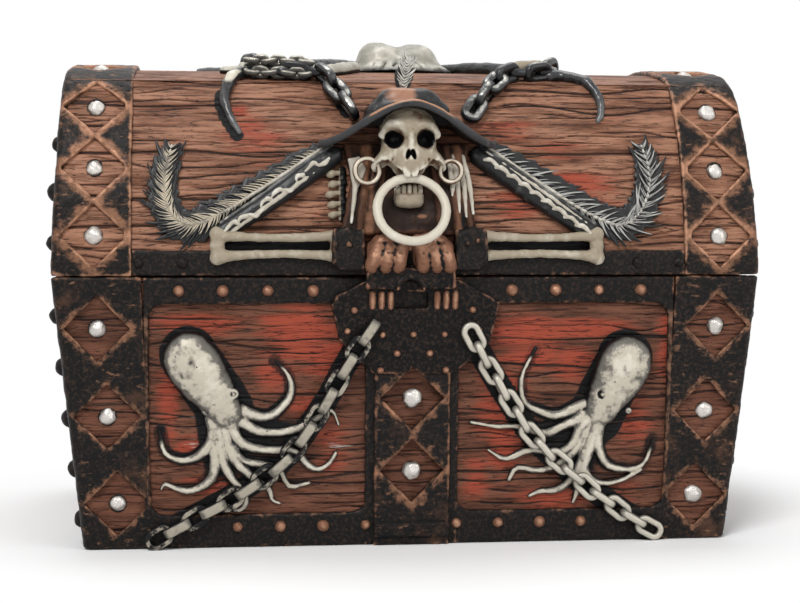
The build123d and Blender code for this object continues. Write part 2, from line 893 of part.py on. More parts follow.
for end, end_name, arms, mantle in (
    (-1, "left", left_arm_shares, left_mantle_shares),
    (1, "right", right_arm_shares, right_mantle_shares),
):
    under = [base_wood, base_foot_bands.part, front_chains[end], centre_backing, centre_strap.part]
    save(seated(octopus(end, arms, mantle), *under), f"octopus_{end_name}")


# Hinges: a leaf on the base's rim, a leaf on the lid and a pin
knuckle_length = hinge_width / knuckle_count


def knuckles(centre, rows):
    with BuildPart() as barrel:
        for row in rows:
            start = centre - hinge_width / 2 + row * knuckle_length
            with BuildSketch(Plane.YZ.offset(start + hinge_gap / 2)):
                with Locations((hinge_y, hinge_z)):
                    RegularPolygon(knuckle_radius, knuckle_sides)
            extrude(amount=knuckle_length - hinge_gap)
    return barrel.part


def hinge_leaf(centre, rows, upper):
    """Plate on the back with a tongue that reaches each of its knuckles."""
    block = lid_outer if upper else base_outer
    side = 1 if upper else -1
    near = knuckle_radius + hinge_gap
    with BuildPart() as leaf:
        with BuildSketch(Plane.XZ):
            with Locations((centre, hinge_z + side * (near + leaf_height) / 2)):
                Rectangle(hinge_width - hinge_gap, leaf_height - near)
            for row in rows:
                start = centre - hinge_width / 2 + (row + 0.5) * knuckle_length
                with Locations((start, hinge_z + side * (seam_gap / 2 + leaf_height / 4))):
                    Rectangle(knuckle_length - hinge_gap, leaf_height / 2)
        extrude(amount=-(half_depth + leaf_thickness))
        add(block, mode=Mode.SUBTRACT)
        with BuildSketch(Plane.XY.offset(hinge_z)):
            with Locations((centre, 0)):
                Rectangle(hinge_width + overrun, chest_depth - base_front_taper * 2)
        extrude(amount=leaf_height, both=True, mode=Mode.SUBTRACT)
        add(knuckles(centre, rows))
        with BuildSketch(Plane.YZ.offset(centre - hinge_width)):
            with Locations((hinge_y, hinge_z)):
                Circle(pin_radius + pin_clearance)
        extrude(amount=2 * hinge_width, mode=Mode.SUBTRACT)
    return leaf.part


for end, end_name in ((-1, "left"), (1, "right")):
    centre = end * hinge_spacing / 2
    save(hinge_leaf(centre, (0, 2), False), f"hinge_leaf_base_{end_name}")
    save(hinge_leaf(centre, (1,), True), f"hinge_leaf_lid_{end_name}")
    with BuildPart() as hinge_pin:
        with BuildSketch(Plane.YZ.offset(centre - hinge_width / 2)):
            with Locations((hinge_y, hinge_z)):
                Circle(pin_radius)
        extrude(amount=hinge_width)
    save(hinge_pin.part, f"hinge_pin_{end_name}")


# Skull: a many-sided stack of sections with sockets, nose and upper teeth, cut away for the ring
skull_height = skull_top - skull_chin
face_share = 0.62
socket_back_share = 0.12
# Shares of the skull's height, width, depth and forward shift, from the chin up
skull_shares = (
    (0.0, 0.46, 0.5, 0.36),
    (0.1, 0.52, 0.56, 0.36),
    (0.17, 0.66, 0.62, 0.3),
    (0.25, 1.0, 0.86, 0.12),
    (0.36, 0.98, 0.92, 0.08),
    (0.5, 0.93, 0.94, 0.05),
    (0.68, 0.97, 1.0, 0.0),
    (0.86, 0.9, 0.9, -0.04),
    (1.0, 0.6, 0.6, -0.08),
)
ring_centre = Vector(
    figure_x,
    -ring_pivot_reach - ring_radius * sin(radians(ring_tilt)),
    ring_pivot_height - ring_radius * cos(radians(ring_tilt)),
)

# Room that the ring sweeps as it swings about its top: widest where the ring curves away
def ring_room_radius(x):
    inner = ring_radius - ring_tube
    return (ring_radius - sqrt(inner**2 - x**2) + mouth_clearance) / cos(radians(180 / ring_tube_sides))


room_half = jaw_width / 2 + mouth_clearance
room_shares = (-1, -0.5, 0, 0.5, 1)
room_stations = []
for share in room_shares:
    x = room_half * share
    pivot = Plane((figure_x + x, -ring_pivot_reach, ring_pivot_height), x_dir=(1, 0, 0), z_dir=(0, -1, 0))
    room_stations.append((pivot, ring_room_radius(x)))
ring_room = limb(room_stations, ring_tube_sides)

with BuildPart() as skull:
    rings = []
    for z_share, width_share, depth_share, forward in skull_shares:
        x_half = skull_width / 2 * width_share
        y_half = skull_depth / 2 * depth_share
        centre_y = -skull_centre_reach - skull_depth * forward
        level = skull_chin + skull_height * z_share
        rings.append(ellipse_ring(figure_x, centre_y, level, x_half, y_half, skull_sides))
    add(faceted(rings))
    for tooth in range(tooth_count):
        x = figure_x + (tooth - (tooth_count - 1) / 2) * (tooth_width + tooth_gap)
        near = skull_centre_reach + skull_depth * skull_shares[0][3]
        far = near + skull_depth / 2 * skull_shares[0][2] + tooth_depth / 4
        add(
            front_box(
                x - tooth_width / 2, x + tooth_width / 2, skull_chin, skull_chin + tooth_height, near, far
            )
        )
    face_reach = skull_centre_reach + skull_depth * face_share
    with BuildSketch(Plane.XZ.offset(face_reach)):
        with Locations(
            (figure_x - socket_spacing / 2, socket_height), (figure_x + socket_spacing / 2, socket_height)
        ):
            RegularPolygon(socket_radius, stud_sides)
    extrude(amount=-(socket_depth + skull_depth * socket_back_share), mode=Mode.SUBTRACT)
    nose = (
        (figure_x - nose_width / 2, nose_height),
        (figure_x + nose_width / 2, nose_height),
        (figure_x, nose_height + nose_rise),
    )
    add(front_prism(nose, face_reach - socket_depth, face_reach + overrun), mode=Mode.SUBTRACT)
    add(ring_room, mode=Mode.SUBTRACT)
    add(lid_wood, mode=Mode.SUBTRACT)
save(skull.part, "skull")

with BuildPart() as lower_jaw:
    add(
        front_box(
            figure_x - jaw_width / 2, figure_x + jaw_width / 2, jaw_foot, jaw_foot + jaw_height,
            half_depth - front_rise, jaw_reach,
        )
    )
    lip = lower_jaw.faces().sort_by(Axis.Y)[0].edges().filter_by(Axis.Z)
    chamfer(lip, jaw_width / 5)
    for tooth in range(tooth_count):
        x = figure_x + (tooth - (tooth_count - 1) / 2) * (tooth_width + tooth_gap)
        add(
            front_box(
                x - tooth_width / 2, x + tooth_width / 2,
                jaw_foot + jaw_height, jaw_foot + jaw_height + jaw_tooth_height,
                jaw_reach - tooth_depth, jaw_reach,
            )
        )
    add(ring_room, mode=Mode.SUBTRACT)
    add(lid_wood, mode=Mode.SUBTRACT)
    add(skull.part, mode=Mode.SUBTRACT)
save(lower_jaw.part, "lower_jaw")

# Ring: many-sided tube that leans out from the mouth
rim_share = 0.99
ring_plane = Plane(
    ring_centre,
    x_dir=(1, 0, 0),
    z_dir=(0, -cos(radians(ring_tilt)), sin(radians(ring_tilt))),
)
with BuildPart() as mouth_ring:
    with BuildSketch(ring_plane):
        for tube_side, mode in ((ring_tube, Mode.ADD), (-ring_tube, Mode.SUBTRACT)):
            RegularPolygon(ring_radius + tube_side, ring_sides, mode=mode)
    extrude(amount=ring_tube, both=True)
    rims = mouth_ring.edges().filter_by(
        lambda edge: abs((edge.center() - ring_centre).dot(ring_plane.z_dir)) > ring_tube * rim_share
    )
    chamfer(rims, ring_tube * ring_bevel_share)
save(mouth_ring.part, "mouth_ring")

# Hat: a thin arched brim and a rounded crown behind it
def arch_points(half_span, foot, crest, sides):
    """Evenly spaced points of a flat arc over the figure, from its foot over its crest."""
    rise = crest - foot
    radius = (half_span**2 + rise**2) / (2 * rise)
    half_turn = asin(half_span / radius)
    points = []
    for side in range(sides + 1):
        turn = half_turn * (2 * side / sides - 1)
        points.append((figure_x + radius * sin(turn), crest - radius * (1 - cos(turn))))
    return points


with BuildPart() as hat:
    brim_under = arch_points(brim_half_span, brim_tip_height, brim_peak_height, brim_sides)
    brim_over = [(x, z + brim_thickness) for x, z in reversed(brim_under)]
    add(front_prism(brim_under + brim_over, brim_root, brim_reach))
    brim_front = arch_points(brim_half_span, half_depth - overrun, brim_reach, brim_sides)
    brim_corners = [(x, -reach) for x, reach in brim_front]
    brim_corners += [(figure_x + brim_half_span, -brim_root), (figure_x - brim_half_span, -brim_root)]
    with BuildSketch(Plane.XY.offset(brim_tip_height)):
        with BuildLine():
            Polyline(*brim_corners, close=True)
        make_face()
    extrude(amount=brim_peak_height - brim_tip_height + 2 * brim_thickness, mode=Mode.INTERSECT)
    rings = []
    for height_share, size_share in crown_shares:
        x_half = crown_width / 2 * size_share
        y_half = crown_depth / 2 * size_share
        level = crown_foot + crown_height * height_share
        rings.append(ellipse_ring(figure_x, -crown_reach, level, x_half, y_half, skull_sides))
    add(faceted(rings))
    add(skull.part, mode=Mode.SUBTRACT)
    add(lid_wood, mode=Mode.SUBTRACT)
save(hat.part, "hat")


# Feathers: a serrated outline that follows a curved shaft
def feather_outline(shaft, half_widths, notch_share, barbs):
    """Left and right points along a line of (x, z) shaft points."""
    with BuildLine() as line:
        Spline(*shaft)
    edge = line.edge()
    left = []
    right = []
    for step in range(barbs + 1):
        share = step / barbs
        spot = edge.position_at(share)
        along = edge.tangent_at(share)
        spread = notch_share if step % 2 else 1.0
        position = share * (len(half_widths) - 1)
        lower = min(int(position), len(half_widths) - 2)
        blend = position - lower
        pair = [
            half_widths[lower][side] * (1 - blend) + half_widths[lower + 1][side] * blend for side in (0, 1)
        ]
        left.append((spot.X - along.Y * pair[0] * spread, spot.Y + along.X * pair[0] * spread))
        right.append((spot.X + along.Y * pair[1] * spread, spot.Y - along.X * pair[1] * spread))
    return left + right[::-1]


def lid_relief(thickness, depth, zone):
    with BuildPart() as piece:
        add(lid_block(-thickness))
        add(lid_block(depth), mode=Mode.SUBTRACT)
        add(zone, mode=Mode.INTERSECT)
    return piece.part


# Coat, with a lapel and strands of lace on it
coat_points = [
    (coat_shoulder_half_width, coat_shoulder_top),
    (coat_waist_half_width, coat_waist_height),
    (coat_hem_half_width, coat_foot),
]
coat_mirrored = [(figure_x - x, z) for x, z in reversed(coat_points)]
coat_points = [(figure_x + x, z) for x, z in coat_points] + coat_mirrored
relief_far = half_depth + cuff_relief + overrun
coat_zone = front_prism(coat_points, relief_far, brim_root)
coat_form = lid_relief(coat_relief - band_thickness, band_thickness, coat_zone)
coat = save(seated(coat_form, skull.part, lower_jaw.part, hat.part), "coat")

lapel_points = (
    (figure_x - lapel_top_inset - lapel_width / 2, lapel_top),
    (figure_x - lapel_top_inset + lapel_width / 2, lapel_top),
    (figure_x - lapel_top_inset - lapel_width / 4, (lapel_top + lapel_foot) / 2),
    (figure_x - lapel_top_inset - lapel_width / 2, lapel_foot),
)
lapel_zone = front_prism(lapel_points, relief_far, brim_root)
lapel_form = lid_relief(lapel_relief - band_thickness, band_thickness - coat_relief, lapel_zone)
save(seated(lapel_form, coat), "lapel")

with BuildPart() as lace:
    for strand in range(lace_count):
        top = figure_x + coat_waist_half_width - lace_width - strand * lace_pitch
        foot = top + lace_pitch
        strand_points = (
            (top, lapel_top),
            (top + lace_width, lapel_top),
            (foot + lace_width, lapel_foot + strand * lace_pitch),
            (foot, lapel_foot + strand * lace_pitch),
        )
        add(
            lid_relief(
                lace_relief - band_thickness,
                band_thickness - coat_relief,
                front_prism(strand_points, relief_far, brim_root),
            )
        )
save(seated(lace.part, coat), "lace")

# Earrings, flat many-sided rings against the cheeks
with BuildPart() as earring_rings:
    for end in (-1, 1):
        with BuildSketch(Plane.XZ.offset(earring_reach - earring_tube)):
            with Locations((figure_x + end * earring_spacing / 2, earring_height)):
                RegularPolygon(earring_radius, earring_sides)
                RegularPolygon(earring_radius - 2 * earring_tube, earring_sides, mode=Mode.SUBTRACT)
    extrude(amount=2 * earring_tube)
earrings = save(seated(earring_rings.part, skull.part, coat, lid_wood, hat.part), "earrings")

# Rib ends stacked beside the coat
with BuildPart() as rib_ends:
    for rib in range(rib_count):
        z = rib_top - rib * rib_pitch
        rib_line = []
        for along, size in rib_shares:
            rib_place = front_plane(figure_x - rib_inset + rib_length * along, z, rib_radius / 2)
            rib_line.append((rib_place, rib_radius * size))
        add(limb(rib_line, arm_sides))
    add(lid_wood, mode=Mode.SUBTRACT)
    add(coat, mode=Mode.SUBTRACT)
save(rib_ends.part, "rib_ends")

# Arms: sleeves down to the elbows, bare forearm bones, cuffs and clenched hands
sleeve_lift_share = 0.55
sleeve_shares = ((0.0, 0.9), (0.3, 1.0), (0.7, 0.95), (1.0, 0.8))
bone_shares = ((0.0, 1.0), (0.08, 1.0), (0.2, 0.0), (0.8, 0.0), (0.92, 1.0), (1.0, 0.9))
finger_size_share = 0.56
# Shares of the hand's height, reach and finger size, from the knuckles down to the tips
finger_drop_shares = ((1.0, 0.62, 0.85), (0.75, 0.92, 1.0), (0.25, 0.95, 1.0), (0.0, 0.7, 0.85))
palm_inset_share = 0.12
palm_reach_share = 0.6
arms = {}
for end, end_name in ((-1, "left"), (1, "right")):
    sleeve = []
    for share, size_share in sleeve_shares:
        x = figure_x + end * (shoulder_offset + (elbow_offset - shoulder_offset) * share)
        z = shoulder_height + (elbow_height - shoulder_height) * share
        sleeve_place = front_plane(x, z, upper_arm_radius * sleeve_lift_share)
        sleeve.append((sleeve_place, upper_arm_radius * size_share))
    sleeve_form = seated(limb(sleeve, sleeve_sides), lid_wood, coat, rib_ends.part, skull.part, hat.part)
    arms[end, "sleeve"] = save(sleeve_form, f"upper_arm_{end_name}")

    with BuildPart() as cuff:
        x_low, x_high = sorted((figure_x + end * cuff_inner, figure_x + end * cuff_outer))
        cuff_zone = front_box(x_low, x_high, cuff_foot, cuff_top, relief_far, brim_root)
        add(lid_relief(cuff_relief - band_thickness, band_thickness, cuff_zone))
        for piece in (coat, lid_rim_bands.part, rib_ends.part, lace.part):
            add(piece, mode=Mode.SUBTRACT)
    arms[end, "cuff"] = save(cuff.part, f"cuff_{end_name}")

    with BuildPart() as forearm:
        for z in (bone_high, bone_low):
            stations = []
            for share, knob_share in bone_shares:
                x = figure_x + end * (bone_inner + (bone_outer - bone_inner) * share)
                radius = bone_radius + (bone_knob_radius - bone_radius) * knob_share
                stations.append((front_plane(x, z, bone_lift), radius))
            add(limb(stations, bone_sides))
    under = [lid_wood, lid_rim_bands.part, arms[end, "cuff"], arms[end, "sleeve"], coat]
    arms[end, "forearm"] = save(seated(forearm.part, *under), f"forearm_{end_name}")

    hand_width = hand_outer - hand_inner
    with BuildPart() as hand:
        for finger in range(finger_count):
            x = figure_x + end * (hand_inner + hand_width * (finger + 0.5) / finger_count)
            finger_radius = hand_width / finger_count * finger_size_share
            finger_line = []
            for z_share, reach_share, size_share in finger_drop_shares:
                z = hand_foot + (hand_top - hand_foot) * z_share
                reach = half_depth + (hand_reach - finger_radius - half_depth) * reach_share
                finger_place = Plane((x, -reach, z), x_dir=(1, 0, 0), z_dir=(0, -1, 0))
                finger_line.append((finger_place, finger_radius * size_share))
            add(limb(finger_line, finger_sides))
        palm_inset = hand_width * palm_inset_share
        palm_ends = (figure_x + end * (hand_inner + palm_inset), figure_x + end * (hand_outer - palm_inset))
        palm_low, palm_high = sorted(palm_ends)
        palm_reach = half_depth + (hand_reach - half_depth) * palm_reach_share
        palm_top = hand_top - finger_radius
        add(front_box(palm_low, palm_high, hand_foot, palm_top, half_depth - overrun, palm_reach))
        for piece in (lid_wood, lid_rim_bands.part, coat, arms[end, "cuff"]):
            add(piece, mode=Mode.SUBTRACT)
    arms[end, "hand"] = save(hand.part, f"hand_{end_name}")

# Hasp: hangs from the lid over the lock plate, with the keyhole's round top
with BuildPart() as hasp:
    add(
        front_box(
            figure_x - hasp_half_width, figure_x + hasp_half_width, hasp_foot, hasp_top,
            half_depth - overrun, hasp_reach,
        )
    )
    with BuildSketch(Plane.XZ.offset(hasp_reach)):
        with Locations((figure_x, hasp_foot)):
            Circle(notch_radius)
    extrude(amount=-(hasp_reach - half_depth), mode=Mode.SUBTRACT)
    base_reach = half_depth + plate_relief + hasp_clearance
    add(front_box(-half_width, half_width, 0, lid_bottom, 0, base_reach), mode=Mode.SUBTRACT)
    beside = [arms[end, piece_name] for end in (-1, 1) for piece_name in ("hand", "cuff")]
    for piece in [lid_wood, lid_rim_bands.part, coat] + beside:
        add(piece, mode=Mode.SUBTRACT)
save(hasp.part, "hasp")

# Curled plumes beside the arms
left_plume_shares = (
    (0.26, 0.535), (0.4, 0.4), (0.54, 0.25), (0.64, 0.235), (0.69, 0.33), (0.69, 0.46), (0.665, 0.6),
)
right_plume_shares = (
    (0.24, 0.535), (0.375, 0.4), (0.505, 0.25), (0.6, 0.235), (0.655, 0.3), (0.69, 0.43), (0.68, 0.6),
)
plume_width_shares = (
    (0.95, 0.12), (0.95, 0.12), (0.9, 0.12), (0.9, 0.9), (0.9, 0.9), (0.85, 0.85), (0.1, 0.1),
)
plume_notch_share = 0.72
plumes = {}
for end, end_name, shares in ((-1, "left", left_plume_shares), (1, "right", right_plume_shares)):
    shaft = [(end * half_width * x, lid_bottom + front_rise * z) for x, z in shares]
    widths = [(plume_width * a, plume_width * b) for a, b in plume_width_shares]
    if end < 0:
        widths = [(b, a) for a, b in widths]
    outline = feather_outline(shaft, widths, plume_notch_share, barb_count)
    plume_zone = front_prism(outline, relief_far, brim_root)
    form = lid_relief(plume_thickness - band_thickness, band_thickness, plume_zone)
    under = [arms[end, "sleeve"], arms[end, "forearm"], lid_rim_bands.part, coat, hat.part, rib_ends.part]
    plumes[end] = save(seated(form, *under), f"plume_{end_name}")

# Small plume that stands behind the hat
small_shaft = [
    (figure_x, small_plume_foot),
    (figure_x + small_plume_width / 8, (small_plume_foot + small_plume_top) / 2),
    (figure_x, small_plume_top),
]
small_width_shares = (0.35, 0.8, 1.0, 0.2)
small_notch_share = 0.6
small_widths = [(small_plume_width / 2 * share,) * 2 for share in small_width_shares]
small_form = front_prism(
    feather_outline(small_shaft, small_widths, small_notch_share, small_barb_count),
    small_plume_reach - small_plume_thickness / 2,
    small_plume_reach + small_plume_thickness / 2,
)
save(seated(small_form, hat.part, lid_wood), "hat_plume")

# Chains over the lid's shoulder, down to the hat
left_top_shares = ((-0.46, -0.2), (-0.3, -0.46), (-0.255, -0.6))
right_top_shares = ((0.44, -0.3), (0.37, -0.5), (0.33, -0.6))
left_front_shares = ((-0.235, 0.985), (-0.205, 0.89), (-0.172, 0.8))
right_front_shares = ((0.285, 0.985), (0.25, 0.91), (0.205, 0.83))
lid_chains = {}
for end, end_name, tops, fronts in (
    (-1, "left", left_top_shares, left_front_shares),
    (1, "right", right_top_shares, right_front_shares),
):
    stations = [crown_plane(half_width * x, half_depth * y, link_lift) for x, y in tops]
    stations += [front_plane(half_width * x, lid_bottom + front_rise * z, link_lift) for x, z in fronts]
    links = chain(chain_places(stations), 1)
    lid_chains[end] = save(seated(links, lid_wood, hat.part, skull.part), f"lid_chain_{end_name}")

# Kraken: a swollen head on the crown, arms that reach over the lid's front edge
with BuildPart() as kraken_head:
    rings = []
    for height_share, size_share in kraken_head_shares:
        x_half = kraken_head_width / 2 * size_share
        y_half = kraken_head_depth / 2 * size_share
        level = lid_top - band_thickness + kraken_head_height * height_share
        rings.append(ellipse_ring(figure_x, 0, level, x_half, y_half, skull_sides))
    add(faceted(rings))
    for end in (-1, 1):
        brow_rings = []
        for height_share, size_share in kraken_brow_shares:
            brow_radius = kraken_brow_radius * size_share
            level = lid_top - band_thickness + kraken_brow_height * height_share
            x = figure_x + end * kraken_brow_spacing / 2
            brow_rings.append(ellipse_ring(x, 0, level, brow_radius, brow_radius, kraken_brow_sides))
        add(faceted(brow_rings))
    add(lid_wood, mode=Mode.SUBTRACT)
save(kraken_head.part, "kraken_head")

kraken_arm_tops = (
    ((-0.09, -0.18), (-0.3, -0.36), (-0.42, -0.52), (-0.475, -0.62)),
    ((0.06, -0.18), (0.27, -0.42), (0.38, -0.55), (0.46, -0.62)),
    ((-0.13, 0.05), (-0.3, 0.12), (-0.5, 0.02), (-0.62, -0.16)),
)
kraken_arm_fronts = (
    ((-0.5, 0.97), (-0.535, 0.9), (-0.52, 0.8), (-0.488, 0.69)),
    ((0.52, 0.985), (0.57, 0.94), (0.59, 0.87), (0.57, 0.8)),
    (),
)
kraken_lift = kraken_arm_radius * kraken_lift_share
with BuildPart() as kraken_arms:
    for tops, fronts in zip(kraken_arm_tops, kraken_arm_fronts):
        places = [crown_plane(half_width * x, half_depth * y, kraken_lift) for x, y in tops]
        places += [front_plane(half_width * x, lid_bottom + front_rise * z, kraken_lift) for x, z in fronts]
        last = len(places) - 1
        stations = []
        for index, place in enumerate(places):
            radius = kraken_arm_radius + (kraken_tip_radius - kraken_arm_radius) * (index / last) ** 2
            stations.append((place, radius))
        add(limb(stations, kraken_arm_sides))
    for piece in (lid_wood, kraken_head.part, lid_chains[-1], lid_chains[1]):
        add(piece, mode=Mode.SUBTRACT)
save(kraken_arms.part, "kraken_arms")
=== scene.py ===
# Painted treasure chest box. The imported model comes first, as a fixed frame.
import itertools
import math

import bmesh
import bpy
import numpy as np
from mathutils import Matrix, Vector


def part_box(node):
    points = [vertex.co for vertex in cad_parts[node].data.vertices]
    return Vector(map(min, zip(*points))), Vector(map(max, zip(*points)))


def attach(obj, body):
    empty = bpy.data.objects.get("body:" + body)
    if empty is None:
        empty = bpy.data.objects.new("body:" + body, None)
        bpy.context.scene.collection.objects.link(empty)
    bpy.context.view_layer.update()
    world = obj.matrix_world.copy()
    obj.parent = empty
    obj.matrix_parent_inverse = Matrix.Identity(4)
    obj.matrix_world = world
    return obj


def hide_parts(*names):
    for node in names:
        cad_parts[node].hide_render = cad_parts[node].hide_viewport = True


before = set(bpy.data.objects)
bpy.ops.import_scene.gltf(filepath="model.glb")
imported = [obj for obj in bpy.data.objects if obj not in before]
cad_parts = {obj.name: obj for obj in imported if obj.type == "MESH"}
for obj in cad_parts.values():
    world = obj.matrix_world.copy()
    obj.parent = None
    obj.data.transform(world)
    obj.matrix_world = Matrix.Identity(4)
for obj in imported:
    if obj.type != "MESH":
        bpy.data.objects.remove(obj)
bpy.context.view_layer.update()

import openvdb
from mathutils import Matrix

# Sizes in millimetres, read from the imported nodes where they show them
MM = 0.001


def node_box(name):
    low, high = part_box(name)
    return np.array(low) / MM, np.array(high) / MM


base_height = node_box("base_shell")[1][2]
half_width, half_depth, lid_rim_top = node_box("lid_rim_bands")[1]
lid_bottom = node_box("lid_shell")[0][2]
lid_top = node_box("lid_strap_left")[1][2]
band = half_width - node_box("lid_shell")[1][0]
lid_height = lid_top - lid_bottom
wood_half = half_width - band
base_end_taper = 6.0
base_front_taper = 4.5
lid_end_taper = 1.8
front_radius = 68.0
crown_rise = 5.0
front_centre = front_radius - half_depth
wood_radius = front_radius - band
shoulder_angle = math.asin((lid_height - crown_rise) / front_radius)
shoulder_y = front_radius * math.cos(shoulder_angle) - front_centre
crown_radius = (shoulder_y**2 + crown_rise**2) / (2 * crown_rise)
crown_centre = lid_top - crown_radius
strap_inner_top = 56.5
strap_inner_foot = 54.3
strap_leg = 12.0
lid_strap_inner = node_box("lid_strap_right")[0][0]
rim_foot = node_box("base_rim_bands")[0][2]
foot_top = node_box("base_foot_bands")[1][2]
figure_x = -0.9
front_aim = (0, -1, 0.25)
FAR = 4.0
MARGIN = 1.3
front_paint_y = -36
front_studs_y = -20
sides = ((-1, "left"), (1, "right"))


# Number helpers
def smooth_min(a, b, soft):
    if not soft:
        return np.minimum(a, b)
    share = np.clip(0.5 + 0.5 * (b - a) / soft, 0, 1)
    return b + (a - b) * share - soft * share * (1 - share)


def smooth_max(a, b, soft):
    return -smooth_min(-a, -b, soft)


def ramp(value, low, high):
    """0 at low, 1 at high, and smooth between."""
    share = np.clip((value - low) / (high - low), 0, 1)
    return share * share * (3 - 2 * share)


def bell(value, centre, width):
    return np.exp(-(((value - centre) / width) ** 2))


hash_steps = np.array([73856093, 19349663, 83492791])
hash_cells = 4096


def corner_weights(part):
    """The offsets of a cell's corners, with their shares at a place in the cell."""
    for offset in itertools.product((0, 1), repeat=part.shape[-1]):
        yield np.array(offset), np.prod(np.where(offset, part, 1 - part), axis=-1)


def noise(points, sizes, seed):
    """Smooth random values from -1 to 1 at points, with bumps of the given sizes."""
    cells = np.asarray(points, float) / np.asarray(sizes, float)
    table = np.random.default_rng(seed).uniform(-1, 1, hash_cells)
    corner = np.floor(cells).astype(np.int64)
    part = cells - corner
    total = 0
    for offset, weight in corner_weights(part * part * (3 - 2 * part)):
        keys = (corner + offset) * hash_steps[:cells.shape[-1]]
        total = total + table[np.bitwise_xor.reduce(keys, axis=-1) & (hash_cells - 1)] * weight
    return total


def smooth_path(points, count):
    """Rows spread along a curve that passes through the given rows."""
    rows = np.array(points, float)
    padded = np.vstack([2 * rows[0] - rows[1], rows, 2 * rows[-1] - rows[-2]])
    position = np.linspace(0, len(rows) - 1 - 1e-6, count)
    start = position.astype(int)
    u = (position - start)[:, None]
    a, b, c, d = (padded[start + step] for step in range(4))
    return b + 0.5 * u * (c - a + u * (2 * a - 5 * b + 4 * c - d + u * (3 * (b - c) + d - a)))


def path_gap(path, x, z):
    """Distance in a plane to a path of (x, z) rows."""
    best = np.full(np.broadcast(x, z).shape, 1e9)
    for a, b in zip(path, path[1:]):
        edge = b - a
        share = np.clip(((x - a[0]) * edge[0] + (z - a[1]) * edge[1]) / max(edge @ edge, 1e-9), 0, 1)
        best = np.minimum(best, np.hypot(x - a[0] - edge[0] * share, z - a[1] - edge[1] * share))
    return best


# Places on the walls. Skin points are (across, height over the wood, up).
def base_wall(points, taper, half):
    across, rise, z = points.T
    lean = math.atan2(taper, base_height)
    reach = half - band - taper * (1 - z / base_height)
    return across, reach + rise * math.cos(lean), z - rise * math.sin(lean)


def on_base_front(points):
    across, out, z = base_wall(points, base_front_taper, half_depth)
    return np.stack([across, -out, z], -1)


def on_base_end(points):
    across, out, z = base_wall(points, base_end_taper, half_width)
    return np.stack([out, across, z], -1)


def on_lid_front(points):
    x, rise, z = points.T
    angle = np.arcsin(np.clip((z - lid_bottom) / wood_radius, -1, 1))
    reach = wood_radius + rise
    return np.stack([x, front_centre - reach * np.cos(angle), lid_bottom + reach * np.sin(angle)], -1)


def on_lid_end(points):
    y, rise, z = points.T
    return np.stack([wood_half - (z - lid_bottom) * lid_end_taper / lid_height + rise, y, z], -1)


def lid_profile(y, z):
    """Distance out of the lid's curved outline."""
    front = np.hypot(np.abs(y) + front_centre, z - lid_bottom) - front_radius
    return smooth_max(front, np.hypot(y, z - crown_centre) - crown_radius, 4.0)


front_rows = wood_radius * shoulder_angle
crown_wood = crown_radius - band
crown_lean = math.asin(shoulder_y / crown_radius)
profile_length = 2 * front_rows + 2 * crown_wood * crown_lean


def lid_sheet(points):
    """Skin points (x, height, distance along the lid's profile from the front) to places on the lid."""
    x, rise, along = points.T
    behind = along > profile_length / 2
    short = np.where(behind, profile_length - along, along)
    front = short < front_rows
    angle = np.where(front, short / wood_radius, (short - front_rows) / crown_wood - crown_lean)
    reach = np.where(front, wood_radius, crown_wood) + rise
    y = np.where(front, front_centre - reach * np.cos(angle), reach * np.sin(angle))
    z = np.where(front, lid_bottom + reach * np.sin(angle), crown_centre + reach * np.cos(angle))
    inset = np.clip(lid_end_taper * (z - lid_bottom) / lid_height, 0, lid_end_taper)
    return np.stack([x * (wood_half - inset) / wood_half, np.where(behind, -y, y), z], -1)


def over_top(points):
    """Skin points (x, height, distance behind the front edge of the crown) to places on the lid."""
    return lid_sheet(points + np.array([0, 0, front_rows]))


def over_edge(crown_rows, front_rows_down):
    """Path for over_top from rows of (x, distance behind the edge), then (x, z) on the lid's front."""
    heights = [(x, (z - lid_bottom) / wood_radius) for x, z in front_rows_down]
    return [*crown_rows, *((x, wood_radius * math.asin(share) - front_rows) for x, share in heights)]


def mirrored(wrap, x_sign=1, y_sign=1):
    return lambda points: wrap(points) * np.array([x_sign, y_sign, 1])


# Meshes
def mesh_object(name, points, faces=(), material=None, values=(), vectors=()):
    """Smooth object from points in millimetres, with number and vector attributes."""
    mesh = bpy.data.meshes.new(name)
    mesh.from_pydata((np.asarray(points, float) * MM).tolist(), [], faces)
    for table, kind, field in ((values, "FLOAT", "value"), (vectors, "FLOAT_VECTOR", "vector")):
        for key, rows in dict(table).items():
            made = mesh.attributes.new(key, kind, "POINT")
            made.data.foreach_set(field, np.asarray(rows, np.float32).ravel())
    if material:
        mesh.shade_smooth()
        mesh.materials.append(material)
    made = bpy.data.objects.new(name, mesh)
    bpy.context.scene.collection.objects.link(made)
    return made


def joined(name, pieces):
    """One object from several that share their materials."""
    with bpy.context.temp_override(
        active_object=pieces[0], selected_editable_objects=pieces, selected_objects=pieces
    ):
        bpy.ops.object.join()
    pieces[0].name = pieces[0].data.name = name
    return pieces[0]


def place(piece, body, slot, *nodes):
    """Rides the piece on its body, in place of the named nodes. The slot is not used."""
    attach(piece, body)
    if nodes:
        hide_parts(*nodes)
    return piece


